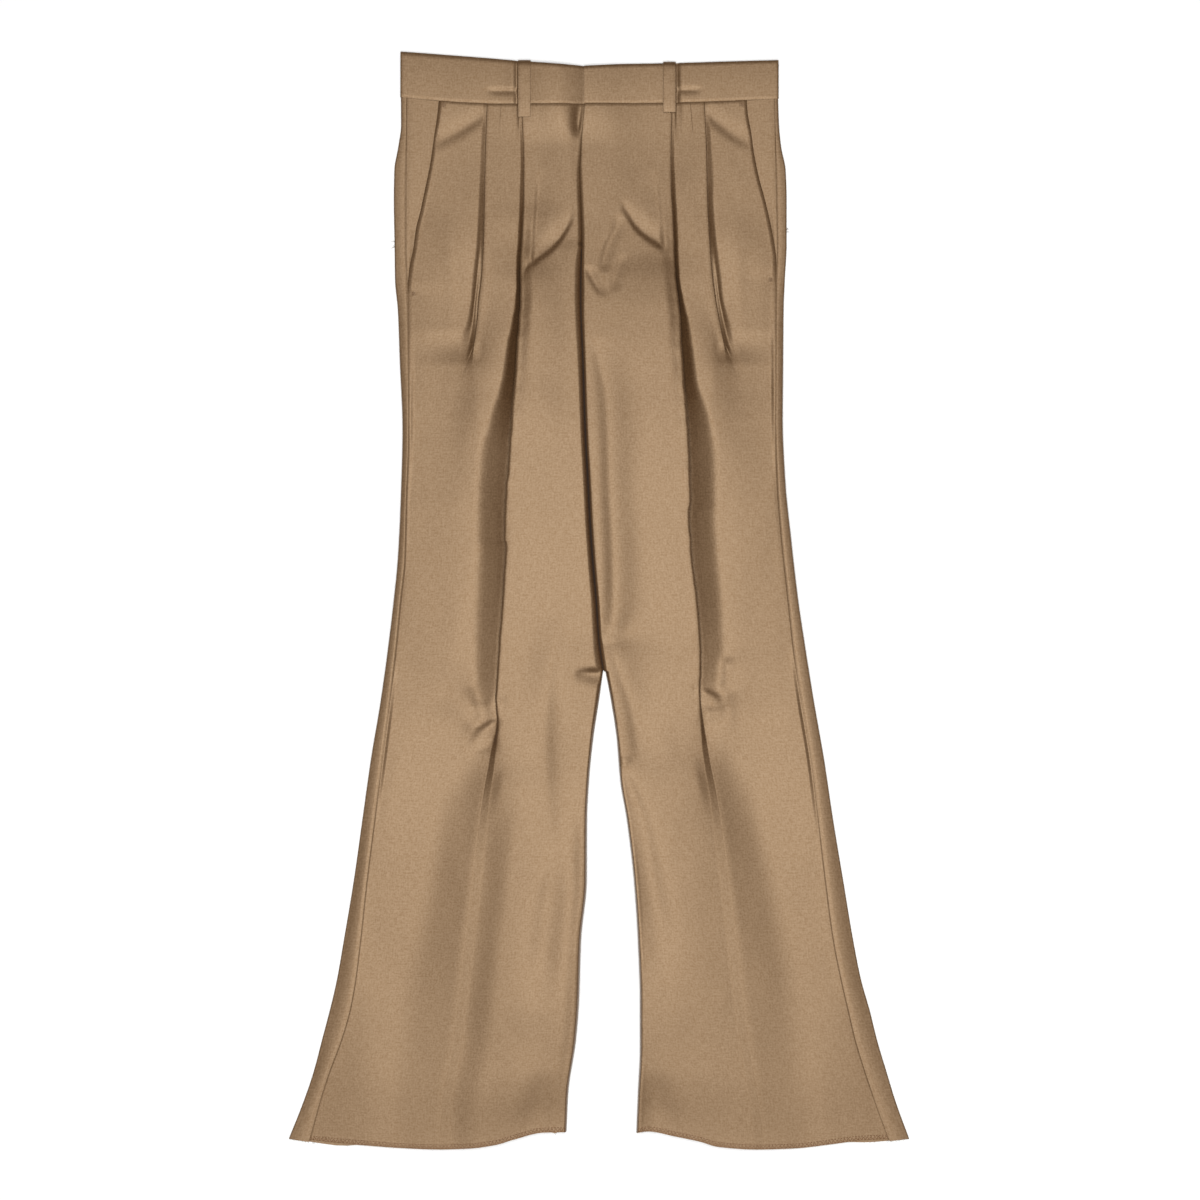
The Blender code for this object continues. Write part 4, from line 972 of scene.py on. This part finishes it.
def metal_boxes(name, boxes, rounding, segments, metal, stands_for):
    """A metal piece of boxes, each an (x, y, z) and a (width, length, height), with rounded edges."""
    form = bmesh.new()
    for place, size in boxes:
        matrix = Matrix.Translation(Vector(place) * MM) @ Matrix.Diagonal((*size, 1))
        bmesh.ops.create_cube(form, size=MM, matrix=matrix)
    bmesh.ops.bevel(
        form, geom=form.edges[:], offset=rounding * MM, affect="EDGES", segments=segments, profile=0.5, material=-1
    )
    piece = finish(name, form, metal)
    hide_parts(stands_for)


def make_zip(tape, metal):
    """The closed zip under the fly: its tape, its teeth in two rows that mesh, and the slider on top."""
    y = np.linspace(ZIP_TOP, ZIP_FOOT, 35)
    share = np.linspace(-0.5, 0.5, 13)[None, :]
    x = SIDES["left"] * middle_out("left", y)[:, None] + ZIP_TAPE_WIDTH * share
    rows = np.repeat(y[:, None], x.shape[1], axis=1)
    z = ZIP_TAPE_MIDDLE + 0.1 * (1 - np.abs(2 * share)) + 0 * x
    piece = cloth_sheet("fly_zip_tape", (x, rows, z, 6), ZIP_TAPE, tape)
    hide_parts("fly_zip")
    teeth = []
    for count in range(int((TEETH_TOP - TEETH_FOOT) / ZIP_PITCH)):
        height = TEETH_TOP - ZIP_PITCH * count
        middle = float(middle_out("left", height)) + (0.75 if count % 2 else -0.75)
        teeth.append(((middle, height, ZIP_TAPE_MIDDLE + 0.2), (2.4, 0.85 * ZIP_PITCH, 0.55)))
    metal_boxes("fly_zip_teeth", teeth, 0.08, 1, metal, "fly_zip")
    middle = float(middle_out("left", 480))
    body = (middle, 482, ZIP_TAPE_MIDDLE + 0.55), (6.0, 8.0, 0.5)
    puller = (middle, 472, ZIP_TAPE_MIDDLE + 0.7), (3.4, 13.0, 0.35)
    metal_boxes("fly_zip_slider", [body, puller], 0.15, 2, metal, "fly_zip")


def make_hook(metal):
    """The flat hook and its bar between the lapped ends of the waistband."""
    x = float(middle_out("left", WAIST_SEAM)) + BAND_LAP * 0.55
    y = (float(waist_y("left", x)) + float(band_top_y("left", x))) / 2
    z = (BAND_FRONT_MIDDLE + BAND_LAP_MIDDLE) / 2
    plate = (x, y, z + 0.15), (13.0, 9.0, 0.5)
    tongue = (x - 4.0, y, z - 0.4), (4.0, 5.0, 0.5)
    bar = (x + 3.5, y, z - 0.35), (1.6, 8.0, 0.5)
    metal_boxes("waist_hook_plate", [plate, tongue, bar], 0.18, 3, metal, "waist_hook")


def lay_on(name):
    """A function that gives the top of this piece at a place, as (point, normal) in metres."""
    mesh = bpy.data.objects[name].data
    tree = BVHTree.FromPolygons([v.co for v in mesh.vertices], [p.vertices for p in mesh.polygons])

    def top(x, y):
        place, normal = tree.ray_cast(Vector((x * MM, y * MM, 0.1)), Vector((0, 0, -1)))[:2]
        if place is None:
            return None
        normal = normal if normal.z > 0 else -normal
        return place + normal * (CLOTH / 2) * MM, normal

    return top


def sew(name, stitches, top, thread):
    """One piece of thread: each stitch (x, y, turn, length, width) is a small rounded grain on the cloth."""
    seam = bmesh.new()
    for x, y, turn, length, width in stitches:
        found = top(x, y)
        if found is None:
            continue
        place, normal = found
        lie = Vector((0, 0, 1)).rotation_difference(normal).to_matrix().to_4x4()
        shape = Matrix.Diagonal((width * MM, length * MM, 0.6 * width * MM, 1))
        bmesh.ops.create_uvsphere(
            seam,
            u_segments=6,
            v_segments=4,
            radius=0.5,
            matrix=Matrix.Translation(place) @ lie @ Matrix.Rotation(turn, 4, "Z") @ shape,
        )
    finish(name, seam, thread, smooth=True)


def along_line(places, pitch):
    """Points (x, y, heading) every pitch mm along a line of places."""
    places = np.array(places, float)
    passed = np.concatenate([[0.0], np.cumsum(np.hypot(*np.diff(places, axis=0).T))])
    at = np.arange(pitch / 2, passed[-1], pitch)
    x, y = np.interp(at, passed, places[:, 0]), np.interp(at, passed, places[:, 1])
    nudge = 0.2
    dx = np.interp(at + nudge, passed, places[:, 0]) - np.interp(at - nudge, passed, places[:, 0])
    dy = np.interp(at + nudge, passed, places[:, 1]) - np.interp(at - nudge, passed, places[:, 1])
    return [(float(a), float(b), math.atan2(-float(c), float(d))) for a, b, c, d in zip(x, y, dx, dy)]


def sew_pockets(thread):
    """The row of stitches inside each slanted mouth, and the bar tacks at its two ends."""
    for side, sign in SIDES.items():
        top = lay_on(f"front_cloth_{side}")
        y = np.linspace(WAIST_SEAM - 2, POCKET_END[side] - 2, 80)
        out = front_edge(side, y)
        line = [(sign * (o - MOUTH_STITCH_INSET), float(true_y(side, o, h))) for o, h in zip(out, y)]
        row = [(a, b, turn, 2.4, 0.5) for a, b, turn in along_line(line, 3.4)]
        sew(f"pocket_topstitch_{side}", row, top, thread)
        tack = []
        for height in (POCKET_END[side] - 8, WAIST_SEAM - 6):
            x = float(front_edge(side, height)) - 5.0
            for step in range(9):
                y_here = float(true_y(side, x, height)) + 0.45 * step
                tack.append((sign * x, y_here, math.radians(90 + (8 if step % 2 else -8)), 6.0, 0.5))
        sew(f"pocket_bar_tacks_{side}", tack, top, thread)


def sew_loops(thread):
    """A short bar of close stitches across the tail of each front belt loop, and one near its top."""
    for side, out in FRONT_LOOP.items():
        top = lay_on(f"belt_loop_cloth_front_{side}")
        seam, band_top = float(waist_y(side, out)), float(band_top_y(side, out))
        bars = []
        for height in (seam - LOOP_TAIL[side] + 1.8, band_top - 3.0):
            for step in range(12):
                x = SIDES[side] * out - LOOP_WIDTH / 2 + 1.2 + step * (LOOP_WIDTH - 2.4) / 11
                bars.append((x, height, math.radians(12 if step % 2 else -12), 1.7, 0.5))
        sew(f"loop_tacks_{side}", bars, top, thread)


def sew_hems(thread):
    """The overlocking along each raw hem: slanted loops over the edge and a row of stitches above."""
    for side, sign in SIDES.items():
        top = lay_on(f"front_cloth_{side}")
        inner, outer = float(middle_out(side, HEM_LINE)) + 1.0, float(front_edge(side, HEM_LINE)) - 1.0
        out = np.linspace(inner, outer, 160)
        for row, inset in (("edge", 0.9), ("upper", HEM_BAND)):
            line = [(sign * o, float(true_y(side, o, HEM_LINE)) + inset) for o in out]
            stitches = [(a, b, turn, 2.2, 0.9) for a, b, turn in along_line(line, 3.0)]
            sew(f"overlock_{row}_{side}", stitches, top, thread)
        line = [(sign * o, float(true_y(side, o, HEM_LINE)) + HEM_BAND / 2) for o in out]
        slanted = []
        for count, (a, b, turn) in enumerate(along_line(line, 1.9)):
            slanted.append((a, b, turn + math.radians(62 if count % 2 else 118), HEM_BAND - 0.6, 0.75))
        sew(f"overlock_loops_{side}", slanted, top, thread)


def fibre(form, chance, place, heading, length, thickness):
    """A loose yarn: three short tapering lengths, each turned a little from the one before it."""
    for part in range(3):
        step = length / 3
        way = Vector((math.cos(heading), math.sin(heading), chance.uniform(-0.15, 0.2))).normalized()
        turned = Vector((0, 0, 1)).rotation_difference(way).to_matrix().to_4x4()
        bmesh.ops.create_cone(
            form,
            cap_ends=True,
            segments=5,
            radius1=thickness * (1 - part * 0.2) / 2 * MM,
            radius2=thickness * (0.8 - part * 0.2) / 2 * MM,
            depth=step * MM,
            matrix=Matrix.Translation(place + way * step / 2 * MM) @ turned,
        )
        place = place + way * step * 0.96 * MM
        heading += chance.uniform(-0.7, 0.7)


def fray_edges(yarn):
    """Loose yarns: short ones along the raw hems, more at the corners, and a small tuft at each hip."""
    chance = random.Random(11)
    for side, sign in SIDES.items():
        frayed = bmesh.new()
        inner = float(middle_out(side, HEM_LINE))
        outer = float(follow(OUTLINE[side], "outer", HEM_LINE)) - 2
        for count in range(HEM_YARNS):
            share = chance.random() if count % 3 else chance.random() * 0.08 + (0.92 if count % 2 else 0.0)
            out = inner + (outer - inner) * share
            low = float(true_y(side, out, HEM_LINE, BACK_HEM_DROP[side] if count % 2 else None))
            place = Vector((sign * out, low + 0.5, 0.8 if count % 2 else 3.2)) * MM
            heading = math.radians(270 + chance.uniform(-65, 65))
            fibre(frayed, chance, place, heading, chance.uniform(1.2, 3.0), 0.22)
        finish(f"frayed_hem_{side}", frayed, yarn, smooth=True)
        tuft = bmesh.new()
        height = TUFT_HEIGHT[side]
        for count in range(TUFT_YARNS):
            out = float(follow(OUTLINE[side], "outer", height + count - 3)) - 0.8
            place = Vector((sign * out, height + count - 3, 2.6)) * MM
            facing = 0 if sign > 0 else 180
            heading = math.radians(facing + chance.uniform(-70, 70))
            fibre(tuft, chance, place, heading, chance.uniform(2.5, 5.0), 0.3)
        finish(f"thread_tuft_{side}", tuft, yarn, smooth=True)


def node(tree, kind, links=(), **settings):
    """Adds a node with its settings, and links (input, from_socket) to it."""
    made = tree.nodes.new(kind)
    for key, value in settings.items():
        if key.startswith("in_"):
            name = key[3:]
            made.inputs[int(name) if name.isdigit() else name.replace("_", " ")].default_value = value
        else:
            setattr(made, key, value)
    for target, source in links:
        tree.links.new(made.inputs[target], source)
    return made


def new_material(name):
    material = bpy.data.materials.new(name)
    material.use_nodes = True
    tree = material.node_tree
    return material, tree, tree.nodes["Principled BSDF"]


def between(tree, share, dark, light):
    """A colour between two tones."""
    links = [("Factor", share)]
    return node(tree, "ShaderNodeMix", links, data_type="RGBA", in_6=srgb(dark), in_7=srgb(light)).outputs[2]


def raise_surface(tree, shader, height, strength, distance):
    bump = node(tree, "ShaderNodeBump", [("Height", height)], in_Strength=strength, in_Distance=distance)
    tree.links.new(shader.inputs["Normal"], bump.outputs[0])


def worsted_suiting():
    """Wool-blend worsted, plain woven from heathered yarn: a smooth, dry cloth with a fine two-tone
    speckle, a faint warp streak and a satin glow where it lies level."""
    material, tree, shader = new_material("worsted_suiting")
    chart = node(tree, "ShaderNodeUVMap", uv_map="cloth").outputs[0]

    def yarns(across, along, detail):
        """Noise as wide and as long as the yarns' marks, in mm of cloth."""
        spread = node(tree, "ShaderNodeMapping", [(0, chart)], in_Scale=(1 / (across * MM), 1 / (along * MM), 1))
        return node(tree, "ShaderNodeTexNoise", [(0, spread.outputs[0])], in_Scale=1.0, in_Detail=detail).outputs[0]

    # Real yarns are 0.3 mm apart: the marks are drawn coarser, so that they show at the photo's scale
    streaks, picks = yarns(1.4, 9.0, 1.0), yarns(8.0, 1.4, 1.0)
    specks, drift = yarns(1.9, 1.9, 1.0), yarns(50.0, 90.0, 3.0)
    woven = node(tree, "ShaderNodeMath", [(0, streaks), (1, picks)], operation="ADD").outputs[0]
    threads = node(tree, "ShaderNodeMath", [(0, specks), (2, woven)], operation="MULTIPLY_ADD", in_1=1.8).outputs[0]
    heather = node(tree, "ShaderNodeMapRange", [(0, threads)], in_1=1.45, in_2=2.35).outputs[0]
    soft = node(tree, "ShaderNodeMapRange", [(0, drift)], in_1=0.3, in_2=0.7, in_3=0.0, in_4=0.35).outputs[0]
    colour = between(tree, heather, "#3f2916", "#593e24")
    toned = node(tree, "ShaderNodeMix", [("Factor", soft), (6, colour)], data_type="RGBA", in_7=srgb("#4f361c"))
    tree.links.new(shader.inputs["Base Color"], toned.outputs[2])
    tree.links.new(shader.inputs["Specular Tint"], between(tree, heather, "#ecc69c", "#ffdfb9"))
    raise_surface(tree, shader, threads, 0.12, 0.0002)
    shader.inputs["Roughness"].default_value = 0.5
    shader.inputs["IOR"].default_value = 1.72
    shader.inputs["Specular IOR Level"].default_value = 1.0
    shader.inputs["Sheen Weight"].default_value = 0.03
    shader.inputs["Sheen Roughness"].default_value = 0.5
    return material


def sewing_thread(name, light, dark):
    """Spun polyester sewing thread: a little smoother and warmer than the cloth, with the fine slanted
    ridges of its twist."""
    material, tree, shader = new_material(name)
    place = node(tree, "ShaderNodeTexCoord").outputs["Object"]
    twist = node(
        tree, "ShaderNodeTexWave", [(0, place)], bands_direction="DIAGONAL", in_Scale=900.0, in_Distortion=2.0
    ).outputs["Color"]
    tree.links.new(shader.inputs["Base Color"], between(tree, twist, dark, light))
    raise_surface(tree, shader, twist, 0.3, 0.0001)
    shader.inputs["Roughness"].default_value = 0.55
    return material


def zip_tape():
    """Woven polyester zip tape: brown, close and flat, with the fine ribs of its weave."""
    material, tree, shader = new_material("zip_tape")
    chart = node(tree, "ShaderNodeUVMap", uv_map="cloth").outputs[0]
    ribs = node(
        tree, "ShaderNodeTexWave", [(0, chart)], bands_direction="DIAGONAL", in_Scale=400.0, in_Distortion=0.5
    ).outputs["Color"]
    tree.links.new(shader.inputs["Base Color"], between(tree, ribs, "#4a3624", "#6b5138"))
    raise_surface(tree, shader, ribs, 0.4, 0.0001)
    shader.inputs["Roughness"].default_value = 0.7
    return material


def nickel_plate():
    """Nickel-plated steel of the zip teeth and the hook: pale, softly polished, with faint rub marks."""
    material, tree, shader = new_material("nickel_plate")
    place = node(tree, "ShaderNodeTexCoord").outputs["Object"]
    rubs = node(tree, "ShaderNodeTexNoise", [(0, place)], in_Scale=900.0, in_Detail=4.0).outputs[0]
    tree.links.new(shader.inputs["Base Color"], between(tree, rubs, "#a9a39a", "#d2cdc4"))
    worn = node(tree, "ShaderNodeMapRange", [(0, rubs)], in_3=0.28, in_4=0.46)
    tree.links.new(shader.inputs["Roughness"], worn.outputs[0])
    shader.inputs["Metallic"].default_value = 1.0
    return material


def matte_paper():
    """Plain studio paper under the garment: white, even and without gloss."""
    material, tree, shader = new_material("studio_paper")
    place = node(tree, "ShaderNodeTexCoord").outputs["Object"]
    pulp = node(tree, "ShaderNodeTexNoise", [(0, place)], in_Scale=400.0, in_Detail=2.0).outputs[0]
    tree.links.new(shader.inputs["Base Color"], between(tree, pulp, "#fbfbfa", "#fefefd"))
    shader.inputs["Roughness"].default_value = 0.9
    return material


def make_camera():
    """Straight above the middle of the garment, so that a photograph's pixel is one millimetre."""
    camera = bpy.data.cameras.new("camera")
    camera.lens = LENS
    camera.sensor_width = SENSOR
    holder = bpy.data.objects.new("camera", camera)
    bpy.context.collection.objects.link(holder)
    holder.location = (0.0, 0.0, VIEW_WIDTH * LENS / SENSOR)
    bpy.context.scene.camera = holder


def make_light():
    """Softboxes above the garment, which give the satin glow where the cloth lies level, and a low one
    past each side seam, which leaves shadow beside the folds."""
    for name, (place, target, size, watts) in SOFTBOXES.items():
        light = bpy.data.lights.new(f"softbox_{name}", "AREA")
        light.shape = "RECTANGLE"
        light.size, light.size_y = size
        light.energy = watts
        holder = bpy.data.objects.new(f"softbox_{name}", light)
        bpy.context.collection.objects.link(holder)
        holder.location = place
        holder.rotation_euler = (Vector(target) - Vector(place)).to_track_quat("-Z", "Y").to_euler()
    world = bpy.data.worlds.new("studio")
    world.use_nodes = True
    background = world.node_tree.nodes["Background"]
    background.inputs["Color"].default_value = srgb("#ffffff")
    background.inputs["Strength"].default_value = AMBIENT
    bpy.context.scene.world = world
    bpy.context.scene.view_settings.view_transform = "Standard"


def make_floor():
    sheet = bmesh.new()
    bmesh.ops.create_grid(sheet, x_segments=1, y_segments=1, size=FLOOR_SIZE)
    mesh = bpy.data.meshes.new("floor")
    sheet.to_mesh(mesh)
    sheet.free()
    mesh.materials.append(matte_paper())
    floor = bpy.data.objects.new("floor", mesh)
    bpy.context.collection.objects.link(floor)


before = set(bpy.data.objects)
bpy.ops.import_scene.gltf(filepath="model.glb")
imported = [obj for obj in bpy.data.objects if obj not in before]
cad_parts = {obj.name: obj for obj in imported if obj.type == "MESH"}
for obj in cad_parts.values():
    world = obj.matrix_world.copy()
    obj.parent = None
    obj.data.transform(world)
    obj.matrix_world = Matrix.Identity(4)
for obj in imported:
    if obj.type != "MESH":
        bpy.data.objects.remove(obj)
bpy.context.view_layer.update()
make_camera()
suiting = worsted_suiting()
make_backs(suiting)
make_fronts(suiting)
make_pocket_facings(suiting)
make_waistband(suiting)
make_front_loops(suiting)
make_back_loops(suiting)
nickel = nickel_plate()
make_zip(zip_tape(), nickel)
make_hook(nickel)
matching_thread = sewing_thread("matching_thread", "#8a6844", "#5f452b")
sew_pockets(matching_thread)
sew_loops(matching_thread)
sew_hems(sewing_thread("overlock_thread", "#8f6138", "#4a2c14"))
fray_edges(sewing_thread("loose_yarn", "#6e5438", "#3a2a1a"))
make_floor()
make_light()
